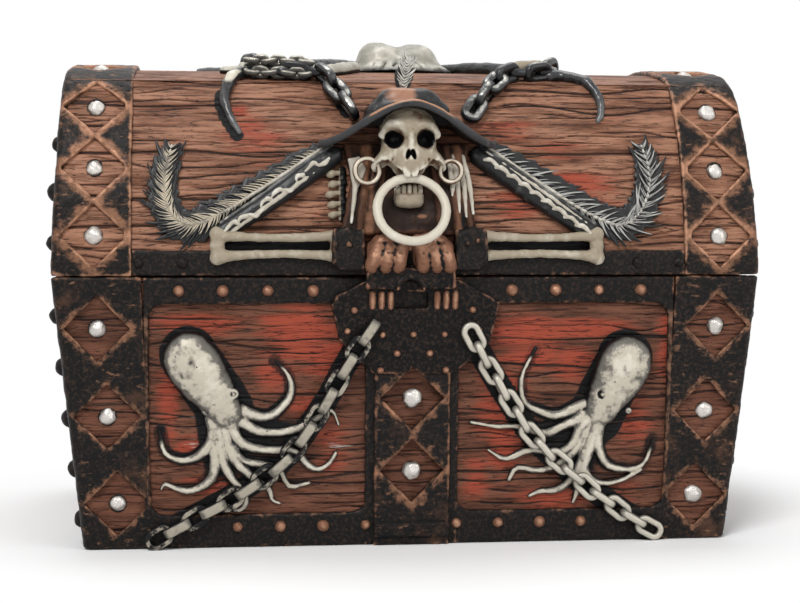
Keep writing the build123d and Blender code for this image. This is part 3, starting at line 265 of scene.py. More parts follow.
class Clay:
    """Block of signed distances. Its forms are mirrored by side, then moved across by about."""

    def __init__(self, low, high, step, side=1, about=0.0):
        self.step, self.side, self.about = step, side, about
        self.axes = [np.arange(a, b + step, step, dtype=np.float32) for a, b in self.spans(low, high)]
        self.field = np.full([len(axis) for axis in self.axes], FAR, np.float32)

    def spans(self, low, high):
        ends = sorted((self.about + self.side * low[0], self.about + self.side * high[0]))
        return [ends, *zip(low[1:], high[1:])]

    def merge(self, shape, soft, cutting):
        low, high, distance = shape
        margin = soft + MARGIN
        near = []
        for axis, (a, b) in zip(self.axes, self.spans(low, high)):
            start = max(int(np.searchsorted(axis, a - margin)) - 1, 0)
            near.append(slice(start, int(np.searchsorted(axis, b + margin)) + 1))
        near = tuple(near)
        x, y, z = np.ix_(*(axis[span] for axis, span in zip(self.axes, near)))
        if x.size and y.size and z.size:
            gap = distance((x - self.about) * self.side, y, z)
            held = self.field[near]
            self.field[near] = smooth_max(held, -gap, soft) if cutting else smooth_min(held, gap, soft)

    def add(self, shape, soft=0.0):
        self.merge(shape, soft, False)

    def cut(self, shape, soft=0.0):
        self.merge(shape, soft, True)

    def rod(self, rows, soft=0.0, flat=1.0, count=0):
        """Adds a bar through rows of (x, y, z, radius), squeezed along the second axis by flat."""
        self.add(bar(smooth_path(rows, count) if count else rows, flat), soft)

    def keep(self, distance, soft=0.0):
        self.field = smooth_max(self.field, distance, soft).astype(np.float32)

    def grid(self):
        return np.ix_(*self.axes)

    def sample(self, field, spots):
        spots = np.clip(spots, 0, np.array(field.shape) - 1.001)
        corner = spots.astype(int)
        weights = corner_weights(spots - corner)
        return sum(weight * field[tuple((corner + offset).T)] for offset, weight in weights)

    def crests(self, spots, radius):
        """How far the surface stands out of its surroundings at spots, in millimetres."""
        half = max(1, round(radius / self.step))
        width = 2 * half + 1
        soft = np.clip(self.field, -1.2, 1.2).astype(np.float64)
        for dim in range(3):
            pad = [(half + 1, half) if d == dim else (0, 0) for d in range(3)]
            total = np.cumsum(np.pad(soft, pad, mode="edge"), axis=dim)
            last = total.shape[dim]
            ahead, behind = np.take(total, range(width, last), dim), np.take(total, range(last - width), dim)
            soft = (ahead - behind) / width
        return self.sample(soft, spots)

    def fire(self, name, material, wrap=None, rough=(), crest=0.6, shades=None, facing_to=None):
        """Turns the clay into an object: wrap places its points, rough is rows of (depth, size)."""
        for dim in range(3):
            ends = np.moveaxis(self.field, dim, 0)
            ends[0] = ends[-1] = self.step
        grid = openvdb.FloatGrid(FAR)
        grid.copyFromArray(self.field)
        spots, faces = grid.convertToQuads(0.0)
        spots = np.asarray(spots, float)
        points = np.array([axis[0] for axis in self.axes]) + spots * self.step
        slope = np.stack([self.sample(s, spots) for s in np.gradient(self.field)], -1)
        slope /= np.maximum(np.linalg.norm(slope, axis=1, keepdims=True), 1e-6)
        aim = np.array(facing_to or (front_aim if wrap is None else (0, 1, 0)), float)
        values = {"crest": self.crests(spots, crest), "up": slope @ (aim / np.linalg.norm(aim))}
        for key, shade in (shades or {}).items():
            values[key] = shade(*points.T)
        for seed, (depth, size) in enumerate(rough):
            bumps = noise(points, (size,) * 3, seed + len(name))
            points = points + slope * (bumps * depth)[:, None]
            values["crest"] = values["crest"] + bumps * depth * 0.5
        if wrap is not None:
            points = wrap(points)
        faces = np.asarray(faces, np.int32)
        a, b, c, d = (points[faces[:, corner]] for corner in range(4))
        if np.einsum("ij,ij->", a, np.cross(b, c) + np.cross(c, d)) < 0:
            faces = faces[:, ::-1]
        return mesh_object(name, points, faces.tolist(), material, values)


def carve(clay, node, material, slot, wrap=None, rough=(), crest=0.6, shades=None, body="lid",
          facing_to=None):
    """The clay's piece, in place of the node that it is named after."""
    place(clay.fire(node + "_form", material, wrap, rough, crest, shades, facing_to), body, slot, node)


# Forms to put in the clay, each with its box and its distance
def bar(rows, flat=1.0):
    rows = np.array(rows, float)
    wide = rows[:, 3].max()

    def distance(x, y, z):
        best = np.float32(FAR * 4)
        for a, b in zip(rows, rows[1:]):
            step = (b - a)[:3] / (1, flat, 1)
            across = (x - a[0], (y - a[1]) / flat, z - a[2])
            along = np.clip(sum(g * s for g, s in zip(across, step)) / max(step @ step, 1e-9), 0, 1)
            gap = np.sqrt(sum((g - along * s) ** 2 for g, s in zip(across, step)))
            best = np.minimum(best, (gap - a[3] - (b[3] - a[3]) * along) * min(flat, 1.0))
        return best

    return rows[:, :3].min(0) - wide, rows[:, :3].max(0) + wide, distance


def turned(centre, turn):
    """Coordinates about a centre, turned in the plane of the first and third axes."""
    c, s = math.cos(turn), math.sin(turn)

    def local(x, y, z):
        x, y, z = x - centre[0], y - centre[1], z - centre[2]
        return x * c + z * s, y, z * c - x * s

    return local


def blob(centre, radii, turn=0.0):
    """Egg shape."""
    centre, radii, local = np.array(centre, float), np.array(radii, float), turned(centre, turn)

    def distance(*place_at):
        p = local(*place_at)
        near = np.sqrt(sum((g / r) ** 2 for g, r in zip(p, radii)))
        fall = np.sqrt(sum((g / r**2) ** 2 for g, r in zip(p, radii)))
        return near * (near - 1) / np.maximum(fall, 1e-6)

    return centre - radii.max(), centre + radii.max(), distance


def slab(centre, half, soft=0.0):
    """Box with rounded edges."""
    centre, half, local = np.array(centre, float), np.array(half, float), turned(centre, 0.0)

    def distance(*place_at):
        gaps = [np.abs(g) - h + soft for g, h in zip(local(*place_at), half)]
        out = np.sqrt(sum(np.maximum(g, 0) ** 2 for g in gaps))
        return out + np.minimum(np.maximum(np.maximum(gaps[0], gaps[1]), gaps[2]), 0) - soft

    return centre - half, centre + half, distance


def hoop(centre, normal, radius, tube):
    """Ring of a round bar about a centre."""
    centre, normal = np.array(centre, float), np.array(normal, float) / np.linalg.norm(normal)

    def distance(x, y, z):
        p = (x - centre[0], y - centre[1], z - centre[2])
        height = sum(g * n for g, n in zip(p, normal))
        across = np.sqrt(np.maximum(sum(g * g for g in p) - height**2, 0))
        return np.hypot(across - radius, height) - tube

    return centre - radius - tube, centre + radius + tube, distance


def rounded_gap(a, b):
    """Distance outside two walls at right angles, round at their corner."""
    return np.hypot(np.maximum(a, 0), np.maximum(b, 0)) + np.minimum(np.maximum(a, b), 0)


def plate(points, low, high, soft=0.3):
    """Flat outline of (x, z) points between two heights, with rounded edges."""
    rows = np.array(points, float)
    closed = np.vstack([rows, rows[:1]])

    def distance(x, y, z):
        inside = np.zeros(np.broadcast(x, z).shape, bool)
        for a, b in zip(closed, closed[1:]):
            if a[1] != b[1]:
                inside ^= ((a[1] > z) != (b[1] > z)) & (x < (b[0] - a[0]) * (z - a[1]) / (b[1] - a[1]) + a[0])
        side = np.where(inside, -1, 1) * path_gap(closed, x, z) + soft
        return rounded_gap(side, np.abs(y - (low + high) / 2) - (high - low) / 2 + soft) - soft

    return (rows[:, 0].min(), low, rows[:, 1].min()), (rows[:, 0].max(), high, rows[:, 1].max()), distance


def diamond_gap(x, z, centre_x, centre_z):
    return (np.abs(x - centre_x) + np.abs(z - centre_z) - 6.8) * math.sqrt(0.5)


# Node helpers and the groups that several paints share
def fill(tree, made, inputs):
    """Links sockets to a node's inputs and sets the other values."""
    for key, value in inputs.items():
        if isinstance(value, bpy.types.NodeSocket):
            tree.links.new(value, made.inputs[key])
        else:
            made.inputs[key].default_value = value


def adder(tree):
    """Function that adds a node to the tree and gives one of its outputs."""

    def add(kind, inputs=(), output=0, **settings):
        made = tree.nodes.new(kind if "Node" in kind else "ShaderNode" + kind)
        for key, value in settings.items():
            setattr(made, key, value)
        fill(tree, made, dict(inputs))
        return made.outputs[output]

    return add


def calc(add, operation, *values):
    return add("Math", enumerate(values), operation=operation)


def times(add, vector, factor):
    """A vector times a vector or a number."""
    return add("VectorMath", {0: vector, 1: factor}, operation="MULTIPLY")


def new_tree(name, kind, output, **inputs):
    """Node tree with its inputs, such as Radius="Float", its adder and its last step."""
    tree = bpy.data.node_groups.new(name, kind + "NodeTree")
    tree.interface.new_socket(kind, in_out="OUTPUT", socket_type="NodeSocket" + output)
    for key, sort in inputs.items():
        tree.interface.new_socket(key, in_out="INPUT", socket_type="NodeSocket" + sort)

    def finish(result):
        tree.links.new(result, tree.nodes.new("NodeGroupOutput").inputs[0])
        return tree

    return tree.nodes.new("NodeGroupInput").outputs, adder(tree), finish


def make_brushing():
    """Mask of paint that a brush leaves: a height, broken up by noise, between two levels."""
    names = ("Height", "Low", "High", "Scale", "Break", "Stretch")
    given, add, finish = new_tree("brushed on", "Shader", "Float", **dict.fromkeys(names, "Float"))
    stretch = add("CombineXYZ", {"X": given["Stretch"], "Y": 1.0, "Z": 1.0})
    spot = times(add, add("TexCoord", output="Object"), stretch)
    speckle = add("TexNoise", {
        "Vector": spot, "Scale": given["Scale"], "Detail": 6.0, "Roughness": 0.65}, "Fac")
    broken = calc(add, "MULTIPLY_ADD", calc(add, "SUBTRACT", speckle, 0.5), given["Break"], given["Height"])
    return finish(add("MapRange", {"Value": broken, "From Min": given["Low"], "From Max": given["High"]},
                      interpolation_type="SMOOTHSTEP"))


def make_casting():
    """Height of a hand-finished cast surface: soft bumps with fine pits."""
    given, add, finish = new_tree("cast surface", "Shader", "Float", Scale="Float")
    spot = add("TexCoord", output="Object")
    bumps = add("TexNoise", {"Vector": spot, "Scale": given["Scale"], "Detail": 5.0}, "Fac")
    fine = calc(add, "MULTIPLY", given["Scale"], 3.1)
    cells = add("TexVoronoi", {"Vector": spot, "Scale": fine}, "Distance")
    pits = add("MapRange", {"Value": cells, "From Min": 0.0, "From Max": 0.4})
    return finish(calc(add, "ADD", bumps, calc(add, "MULTIPLY", pits, 0.5)))


def make_cracks():
    """Mask of short cracks along a board, from the board's own coordinates in millimetres."""
    _, add, finish = new_tree("wood cracks", "Shader", "Float")
    spot = times(add, add("Attribute", output="Vector", attribute_name="board"), (0.055, 0.8, 1.0))
    parts = []
    for share in (1.0, 2.3):
        rows = add("TexNoise", {"Vector": spot, "Scale": share, "Detail": 2.0, "Roughness": 0.55}, "Fac")
        gap = calc(add, "ABSOLUTE", calc(add, "SUBTRACT", rows, 0.5))
        line = add("MapRange", {"Value": gap, "From Max": 0.021, "To Min": 1.0, "To Max": 0.0})
        gate = add("TexNoise", {"Vector": spot, "Scale": share * 1.7, "Detail": 1.0}, "Fac")
        gate = add("MapRange", {"Value": gate, "From Min": 0.44, "From Max": 0.54})
        parts.append(calc(add, "MULTIPLY", line, gate))
    return finish(calc(add, "MAXIMUM", *parts))


brushing, casting, cracks = make_brushing(), make_casting(), make_cracks()


def paint(name, ground, coats, rough=0.5, metal=0.0, bump=0.25, scale=700.0, gloss=0.1, cracked=None):
    """Material of a ground and coats of (colour, source, low, high, scale, break, stretch 1, metal None)."""
    material = bpy.data.materials.new(name)
    material.use_nodes = True
    tree = material.node_tree
    add = adder(tree)
    colour = (*ground, 1)
    for coat in coats:
        tint, source, low, high, grain, broken, stretch, gleam = (*coat, *(1.0, None)[len(coat) - 6:])
        inputs = {"Low": low, "High": high, "Scale": grain, "Break": broken, "Stretch": stretch}
        if source:
            inputs["Height"] = add("Attribute", output="Fac", attribute_name=source)
        mask = add("Group", inputs, node_tree=brushing)
        colour = add("Mix", {0: mask, 6: colour, 7: (*tint, 1)}, 2, data_type="RGBA")
        if gleam is not None:
            metal = add("Mix", {0: mask, 2: metal, 3: gleam}, data_type="FLOAT")
    height = add("Group", {"Scale": scale}, node_tree=casting)
    if cracked:
        crack = add("Group", node_tree=cracks)
        colour = add("Mix", {0: crack, 6: colour, 7: (*cracked, 1)}, 2, data_type="RGBA")
        height = calc(add, "SUBTRACT", height, crack)
    lumps = add("Bump", {"Strength": bump, "Distance": 0.0002, "Height": height})
    fill(tree, tree.nodes["Principled BSDF"], {
        "Base Color": colour, "Roughness": rough, "Metallic": metal, "Specular IOR Level": gloss,
        "Normal": lumps})
    return material


# Colours and paints
slate = (0.0095, 0.009, 0.009)
black = (0.005, 0.005, 0.0055)
copper = (0.165, 0.078, 0.046)
bright_copper = (0.33, 0.165, 0.10)
cream = (0.50, 0.455, 0.37)
soot = (0.012, 0.012, 0.013)
brown_speckle = ((0.034, 0.023, 0.018), "", -0.04, 0.18, 1400, 1, 1, 0.1)
dark_edges = (black, "crest", -0.05, -0.16, 400, 0.1, 1, 0)
slate_finish = dict(rough=0.44, metal=0.1, bump=0.7, scale=520)


def strap_finish(name, frame_low, frame_high, edge_colour, slate_low):
    """Slate brushed with copper, most of it where the frame attribute is high."""
    return paint(name, slate, [
        brown_speckle,
        ((0.085, 0.044, 0.028), "", 0.04, 0.2, 85, 0.9, 1, 0.15),
        ((0.17, 0.09, 0.056), "", 0.09, 0.22, 900, 1.1, 0.4, 0.25),
        ((0.15, 0.076, 0.046), "", 0.12, 0.24, 150, 0.9, 1, 0.25),
        ((0.20, 0.10, 0.06), "frame", frame_low, frame_high, 420, 2.2, 1, 0.3),
        (slate, "", slate_low, 0.22, 600, 1.4, 0.3, 0.1),
        (edge_colour, "crest", 0.11, 0.27, 620, 0.35, 1, 0.35),
        dark_edges,
    ], **slate_finish)


strap_paint = strap_finish("strap slate and copper", 0.8, 1.25, bright_copper, 0.12)
lid_strap_paint = strap_finish("lid strap copper", 0.5, 1.1, (0.40, 0.21, 0.13), -0.02)
band_paint = paint("band dark slate", slate, [
    brown_speckle,
    (copper, "", 0.12, 0.24, 160, 0.8, 1, 0.2),
    ((0.20, 0.105, 0.066), "crest", 0.14, 0.28, 620, 0.4, 1, 0.3),
    dark_edges,
], **slate_finish)
plate_paint = paint("lock plate slate", (0.0065, 0.006, 0.006), [
    brown_speckle,
    (copper, "", 0.12, 0.26, 260, 0.8, 1, 0.2),
    ((0.22, 0.11, 0.07), "crest", 0.10, 0.24, 620, 0.4, 1, 0.3),
], rough=0.42, metal=0.1, bump=0.7, scale=520)
copper_paint = paint("copper worn", (0.20, 0.095, 0.058), [
    ((0.42, 0.235, 0.15), "up", 0.78, 1.1, 320, 0.9, 1, 0.35),
    (slate, "", 0.09, 0.22, 380, 0.8, 1, 0.1),
    (slate, "crest", 0.0, -0.08, 380, 0.15, 1, 0.1),
    ((0.46, 0.27, 0.185), "crest", 0.2, 0.36, 600, 0.3, 1, 0.4),
], rough=0.42, metal=0.25, bump=0.5, scale=600)
stud_paint = paint("stud silver", (0.20, 0.185, 0.165), [
    ((0.58, 0.55, 0.51), "up", 0.3, 0.75, 300, 0.9, 1, 0.4),
    (black, "", 0.14, 0.24, 620, 0.9, 1, 0.1),
    ((0.24, 0.15, 0.10), "", 0.08, 0.3, 260, 0.7, 1, 0.2),
], rough=0.34, metal=0.4, bump=0.8, scale=520, gloss=0.4)
grain_dark = (0.011, 0.0065, 0.0055)


def wood_paint(name, ground, ridge, wash):
    return paint(name, ground, [
        (ridge, "crest", 0.0, 0.16, 420, 0.45, 0.16),
        (wash, "", 0.02, 0.2, 70, 0.7, 0.3),
        (wash, "", 0.04, 0.2, 900, 1, 0.07),
        ((0.30, 0.056, 0.03), "red", 0.25, 0.8, 520, 1.2, 0.08),
        (grain_dark, "crest", -0.05, -0.17, 300, 0.08, 0.3),
        ((0.50, 0.44, 0.39), "chalk", 1.0, 1.15, 1800, 2.2, 0.035),
        # Black paint round the front carvings and chains, with painted shadow under the lid's chains and front kraken
        # arm
        (black, "halo", 0.35, 0.6, 420, 0.35),
    ], bump=0.6, scale=900, gloss=0.16, cracked=grain_dark)


lid_wood_paint = wood_paint("lid wood", (0.145, 0.059, 0.032), (0.34, 0.168, 0.104), (0.068, 0.027, 0.016))
base_wood_paint = wood_paint("base wood", (0.098, 0.035, 0.019), (0.165, 0.068, 0.041), (0.043, 0.018, 0.011))
inside_paint = paint("inside stained", (0.06, 0.028, 0.02), [
    ((0.10, 0.045, 0.03), "", 0, 0.2, 60, 0.8, 0.2),
], rough=0.6)
hinge_paint = paint("hinge steel", (0.42, 0.41, 0.39), [
    ((0.16, 0.14, 0.12), "", 0.1, 0.25, 300, 0.8, 1, 0.5),
], rough=0.38, metal=0.9, bump=0.15)
octopus_paint = paint("octopus cream over black", black, [
    ((0.13, 0.12, 0.105), "up", 0.4, 0.75, 260, 0.6, 1, 0.1),
    (cream, "up", 0.76, 0.95, 420, 0.9, 1, 0.1),
    ((0.62, 0.58, 0.49), "up", 0.95, 1.05, 180, 0.5, 1, 0.15),
    ((0.26, 0.235, 0.20), "", 0.14, 0.28, 420, 0.9, 1, 0),
    (black, "", 0.24, 0.3, 900, 1.5, 1, 0),
    (black, "crest", -0.04, -0.12, 400, 0.14, 1, 0),
    (black, "tip", 0.45, 0.8, 300, 0.3, 1, 0),
], rough=0.4, bump=0.5, scale=420, gloss=0.2)
bone_paint = paint("bone ivory", (0.30, 0.252, 0.182), [
    ((0.60, 0.555, 0.46), "crest", 0.07, 0.26, 320, 0.3),
    ((0.15, 0.078, 0.042), "", 0.09, 0.24, 170, 0.8),
    ((0.13, 0.065, 0.038), "crest", 0.03, -0.08, 240, 0.25),
    (black, "dark", 0.4, 0.6, 300, 0.3),
    (black, "crest", -0.12, -0.24, 400, 0.1),
], rough=0.42, bump=0.4, scale=520, gloss=0.25)
ring_paint = paint("ring ivory worn", (0.56, 0.51, 0.42), [
    ((0.74, 0.70, 0.61), "", 0.02, 0.2, 120, 0.7, 1, 0.1),
    ((0.13, 0.09, 0.06), "", 0.17, 0.24, 380, 0.9, 1, 0),
    ((0.16, 0.11, 0.07), "up", 0.45, -0.1, 200, 0.7, 1, 0),
], rough=0.36, bump=0.35, scale=420, gloss=0.3)
earring_paint = paint("earring copper cream", (0.12, 0.065, 0.042), [
    ((0.56, 0.50, 0.40), "up", 0.62, 1.0, 300, 0.9, 1, 0.2),
], rough=0.35, metal=0.2, bump=0.3)
chain_finish = dict(rough=0.4, bump=0.4, scale=600, gloss=0.2)
chain_paint = paint("chain cream over black", black, [
    ((0.14, 0.13, 0.11), "up", 0.3, 0.7, 300, 0.6, 1, 0.1),
    ((0.36, 0.325, 0.26), "up", 0.74, 1.0, 460, 0.9, 1, 0.1),
    (black, "", 0.2, 0.26, 500, 0.9, 1, 0),
], **chain_finish)
edged_chain_paint = paint("chain black with cream edges", black, [
    ((0.34, 0.305, 0.245), "up", 0.93, 1.04, 520, 0.7, 1, 0.1),
], **chain_finish)
pale_chain_paint = paint("chain cream silver", (0.10, 0.09, 0.08), [
    ((0.20, 0.185, 0.155), "up", 0.1, 0.5, 300, 0.6, 1, 0.1),
    ((0.52, 0.485, 0.41), "up", 0.5, 0.9, 460, 0.6, 1, 0.2),
    (black, "", 0.2, 0.26, 420, 0.9, 1, 0),
], rough=0.38, bump=0.4, scale=600, gloss=0.2)
dark_chain_paint = paint("chain dark silver", black, [
    ((0.045, 0.045, 0.046), "up", 0.3, 0.8, 300, 0.6, 1, 0.4),
    ((0.48, 0.47, 0.43), "up", 0.92, 1.04, 300, 0.6, 1, 0.5),
], rough=0.24, metal=0.2, bump=0.35, scale=500, gloss=0.5)
braid_paint = paint("braid silver", (0.07, 0.066, 0.058), [
    ((0.44, 0.41, 0.35), "up", 0.2, 0.8, 420, 1.2, 1, 0.3),
    (black, "", 0.1, 0.2, 620, 1.1, 1, 0),
], rough=0.36, metal=0.1, bump=0.4, scale=600, gloss=0.2)
hat_paint = paint("hat slate", (0.010, 0.010, 0.0105), [
    ((0.034, 0.034, 0.036), "crest", 0.02, 0.2, 260, 0.25),
    (bright_copper, "warm", 0.4, 0.75, 280, 0.7),
    ((0.36, 0.18, 0.10), "edge", 0.55, 0.9, 400, 0.5),
    ((0.34, 0.27, 0.20), "tips", 0.6, 0.95, 400, 0.5),
], rough=0.36, bump=0.35, scale=420, gloss=0.3)
coat_paint = paint("coat brown black", (0.022, 0.013, 0.010), [
    ((0.075, 0.035, 0.022), "crest", 0.0, 0.16, 220, 0.5),
    ((0.24, 0.115, 0.066), "warm", 0.5, 0.85, 260, 0.7),
    (black, "crest", -0.05, -0.18, 400, 0.1),
    (black, "dark", 0.35, 0.7, 300, 0.4),
], bump=0.5, scale=420)
lace_paint = paint("lace white", (0.44, 0.40, 0.33), [
    ((0.12, 0.085, 0.06), "crest", 0.0, -0.12, 300, 0.2),
    ((0.66, 0.63, 0.56), "crest", 0.06, 0.2, 300, 0.25),
], rough=0.45, bump=0.4)
sleeve_paint = paint("sleeve black with pale carving", soot, [
    ((0.12, 0.12, 0.115), "crest", 0.03, 0.16, 300, 0.3),
    (cream, "crest", 0.10, 0.22, 420, 0.25),
], rough=0.36, bump=0.4, scale=520, gloss=0.3)
feather_black = paint("feather black", soot, [((0.10, 0.10, 0.10), "crest", 0.08, 0.3, 400, 0.3)],
                      rough=0.38, bump=0.4, scale=520, gloss=0.3)
kraken_paint = paint("kraken pale grey", (0.31, 0.295, 0.25), [
    ((0.50, 0.475, 0.405), "crest", 0.0, 0.2, 200, 0.4, 1, 0.1),
    ((0.09, 0.095, 0.10), "", 0.08, 0.24, 90, 0.7, 0.5, 0.1),
    (black, "low", 0.45, 0.8, 180, 0.5, 1, 0),
    (black, "crest", -0.08, -0.25, 260, 0.15, 1, 0),
], rough=0.38, bump=0.5, scale=300, gloss=0.25)
kraken_black = paint("kraken arm black", (0.010, 0.011, 0.012), [
    ((0.10, 0.10, 0.10), "crest", 0.1, 0.4, 260, 0.3),
    # Pale paint on the arm's top where it bends over the lid's edge, partly a painted highlight of the glossy arm
    ((0.62, 0.58, 0.47), "light", 0.5, 0.85, 300, 0.4),
], rough=0.24, bump=0.35, scale=400, gloss=0.5)


def barb_paint(name, pale, warm):
    return paint(name, (0.014, 0.014, 0.015), [
        ((0.10, 0.095, 0.09), "up", 0.2, 0.6, 300, 0.6),
        (pale, "up", 0.62, 0.95, 260, 0.9),
        (warm, "", 0.14, 0.26, 150, 0.7),
    ], rough=0.38, scale=600, gloss=0.2)


gold_barbs = barb_paint("barbs cream and brown", (0.50, 0.43, 0.32), (0.10, 0.05, 0.025))
silver_barbs = barb_paint("barbs silver", (0.40, 0.395, 0.37), (0.02, 0.02, 0.02))
white_barbs = barb_paint("barbs white", (0.66, 0.64, 0.58), (0.10, 0.08, 0.06))


# Paths and places that the carvings, the chains and the black paint and painted shadow round them share, in
# millimetres
def rows_of(width, *numbers):
    return np.reshape(np.array(numbers, float), (-1, width))


octopus_places = {-1: (-39.9, 29.6), 1: (39.9, 29.6)}
octopus_reach = 20.0


def octopus_path(side, *shares):
    """Rows of (x, z) from hundredths of the octopus's reach."""
    return octopus_places[side] + rows_of(2, *shares) * octopus_reach / 100


octopus_arms = {
    -1: (
        octopus_path(-1, 11, 4, 31, -7, 49, -9, 64, 3, 72, 17, 69, 34, 55, 50),
        octopus_path(-1, -12, -7, -10, -29, -18, -44, -31, -53, -46, -54, -60, -46, -65, -24),
        octopus_path(-1, 7, -6, 25, -18, 44, -26, 75, -24, 102, -10, 115, -4, 122, -19),
        octopus_path(-1, 4, -4, 12, -26, 25, -40, 50, -45, 75, -45, 88, -60, 100, -66, 112, -60, 119, -49),
        octopus_path(-1, -2, -7, 9, -40, 20, -56, 40, -60, 59, -66, 70, -84, 91, -81),
        octopus_path(-1, -6, -11, -3, -34, 1, -57, 10, -75, 22, -90, 24, -102, 15, -109, 2, -100),
        octopus_path(-1, -8, -10, -8, -40, -10, -72, -28, -86, -45, -86, -60, -80, -64, -86),
        octopus_path(-1, 0, -10, 10, -50, 30, -72, 48, -86, 52, -98, 60, -102),
    ),
    1: (
        octopus_path(1, -7, 2, -21, -2, -42, -11, -62, -7, -79, 4, -82, 30, -67, 61),
        octopus_path(1, 6, -10, 3, -24, 2, -43, 11, -64, 31, -71, 52, -66, 63, -40),
        octopus_path(1, -6, -5, -20, -16, -37, -23, -57, -31, -85, -23, -108, -23, -136, -18),
        octopus_path(1, -4, -7, -18, -25, -27, -43, -42, -52, -72, -48, -98, -58, -117, -48),
        octopus_path(1, -2, -10, -14, -30, -24, -50, -41, -64, -61, -71, -85, -68, -94, -81),
        octopus_path(1, 3, -10, -3, -35, -12, -60, -8, -78, 8, -86, 28, -83, 50, -72),
        octopus_path(1, 0, -10, -10, -45, -22, -75, -40, -92, -60, -94, -72, -99),
        octopus_path(1, 0, -10, -8, -50, -18, -80, -20, -95, -24, -106),
    ),
}
mantle_paths = {
    -1: octopus_path(-1, 6, -14, 3, -3, -4, 10, -15, 26, -25, 41, -33, 52, -35, 56),
    1: octopus_path(1, 0, -14, 5, -3, 10, 10, 18, 24, 25, 38, 29, 46, 30, 50),
}
mantle_sizes = {-1: (0.46, 0.62, 0.74, 0.88, 1.0, 0.98, 0.86), 1: (0.46, 0.64, 0.76, 0.9, 1.0, 0.98, 0.86)}
mantle_radius = 5.8
front_chain_paths = {
    -1: rows_of(2, -9.5, 45.8, -12.2, 41.6, -14.9, 37, -17.4, 32.1, -20.5, 27.3, -23.7, 22.6, -27.4, 18,
                -32.5, 14.2, -37.3, 11.1, -43, 8, -47.8, 5.5, -53, 2.6),
    1: rows_of(2, 12.6, 44.6, 14.8, 40.4, 17, 36.7, 19.6, 32.4, 22.5, 28.1, 25.4, 23.7, 28.9, 19.8,
               32.5, 16.9, 36.5, 13.1, 40.9, 9.8, 45.9, 6.4, 51.7, 2.8),
}


def solid_centres(node):
    """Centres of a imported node's separate solids, in millimetres."""
    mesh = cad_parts[node].data
    keys = {}
    owner = [keys.setdefault(tuple(np.round(np.array(v.co) / MM, 3)), len(keys)) for v in mesh.vertices]
    root = list(range(len(keys)))

    def find(i):
        while root[i] != i:
            root[i] = i = root[root[i]]
        return i

    for face in mesh.polygons:
        first, *others = (find(owner[i]) for i in face.vertices)
        for other in others:
            root[find(other)] = find(first)
    groups = {}
    for index, spot in enumerate(keys):
        groups.setdefault(find(index), []).append(spot)
    return [np.mean(spots, 0) for spots in groups.values()]


# Carved wood on the walls. Patches of paint are rows of (x, z, width, height, strength).
red_patches = rows_of(
    5, -24, 45, 10, 7, 1, -17, 40, 7, 6, 0.95, -44, 47, 12, 3, 0.8, -51, 30, 3, 12, 0.75, -46, 21, 5, 3, 1,
    -22, 30, 8, 4, 0.7, 38, 46, 12, 3, 0.85, 18, 30, 6, 12, 0.8, 26, 40, 9, 5, 0.9, 14, 14, 4, 6, 0.7,
    -42, 13, 8, 3, 0.7, -17, 20, 6, 8, 0.7, -29, 36, 5, 5, 0.7, 24, 45, 12, 5, 0.9, 20, 33, 7, 6, 0.9,
    34, 38, 7, 5, 0.9, 56, 42, 4, 10, 0.9, 20, 22, 5, 10, 0.9, 30, 8, 12, 4, 0.7, 48, 26, 6, 6, 0.8,
    46, 10, 6, 5, 0.5, 29, 22, 5, 5, 0.6, -34, 89, 6, 3, 0.8, -33, 86, 10, 4, 0.7, -28, 82, 9, 4, 0.45,
    22, 88, 9, 3, 0.75, 30, 84, 10, 3, 0.6, 34, 77, 14, 3, 0.75, 22, 72, 9, 4, 0.7, 38, 73, 8, 3, 0.5,
    -36, 92, 3, 2, 0.9, 60, 76, 5, 6, 0.3, 45, 91, 7, 2, 0.35, -20, 72, 4, 5, 0.3,
)
chalk_patches = rows_of(5, -46, 22, 5, 4, 0.95, -16, 21, 6, 3, 1, -46, 27, 4, 2, 0.8)
# Strips under the lid's chains and front kraken arm: black paint round them and the painted shadow they cast
lid_halo_paths = (
    rows_of(2, -35.8, 100.8, -39.7, 95.6, -39.1, 91.1, -36.6, 86.8),
    rows_of(2, -19, 102.3, -15.9, 96.9, -13.1, 92),
    rows_of(2, 29.3, 104.1, 23.5, 102.3, 19.5, 98, 15.3, 93.2),
)


def patch_mask(patches, x, z):
    spots = [strength * bell(x, centre_x, wide) * bell(z, centre_z, high)
             for centre_x, centre_z, wide, high, strength in patches]
    return np.maximum.reduce(spots)


def halo_mask(x, z):
    """Black paint on the wood round the carvings, chains and studs of the front, with painted shadow under the lid's
    chains and front kraken arm.
    """
    masks = [1 - ramp(np.hypot(np.maximum(np.abs(np.abs(x) - 27) - 12, 0), z - 63.3), 1.6, 2.6)]
    for side in (-1, 1):
        away = np.hypot(x - octopus_places[side][0], z - octopus_places[side][1])
        fade = 1 - 0.75 * np.clip(away / 24, 0, 1)
        for index, arm in enumerate(octopus_arms[side]):
            wide = 2.5 if index < 2 else 3.2 + 2.6 * (1 - ramp(away, 5, 17))
            masks.append(fade * (1 - ramp(path_gap(smooth_path(arm, 24), x, z), wide * 0.45, wide)))
        masks.append(1 - ramp(path_gap(mantle_paths[side], x, z), mantle_radius * 0.9, mantle_radius * 1.18))
        masks.append(1 - ramp(path_gap(smooth_path(front_chain_paths[side], 30), x, z), 1.8, 3.2))
    # Painted shadow, with black paint, under the lid's chains and front kraken arm
    for rows in lid_halo_paths:
        masks.append(0.8 * (1 - ramp(path_gap(smooth_path(rows, 16), x, z), 1.0, 1.9)))
    for spot in solid_centres("base_studs") + solid_centres("lid_studs"):
        if spot[1] < front_studs_y:
            masks.append(0.7 * (1 - ramp(np.hypot(x - spot[0], z - spot[2]), 1.6, 2.5)))
    return np.maximum.reduce(masks)


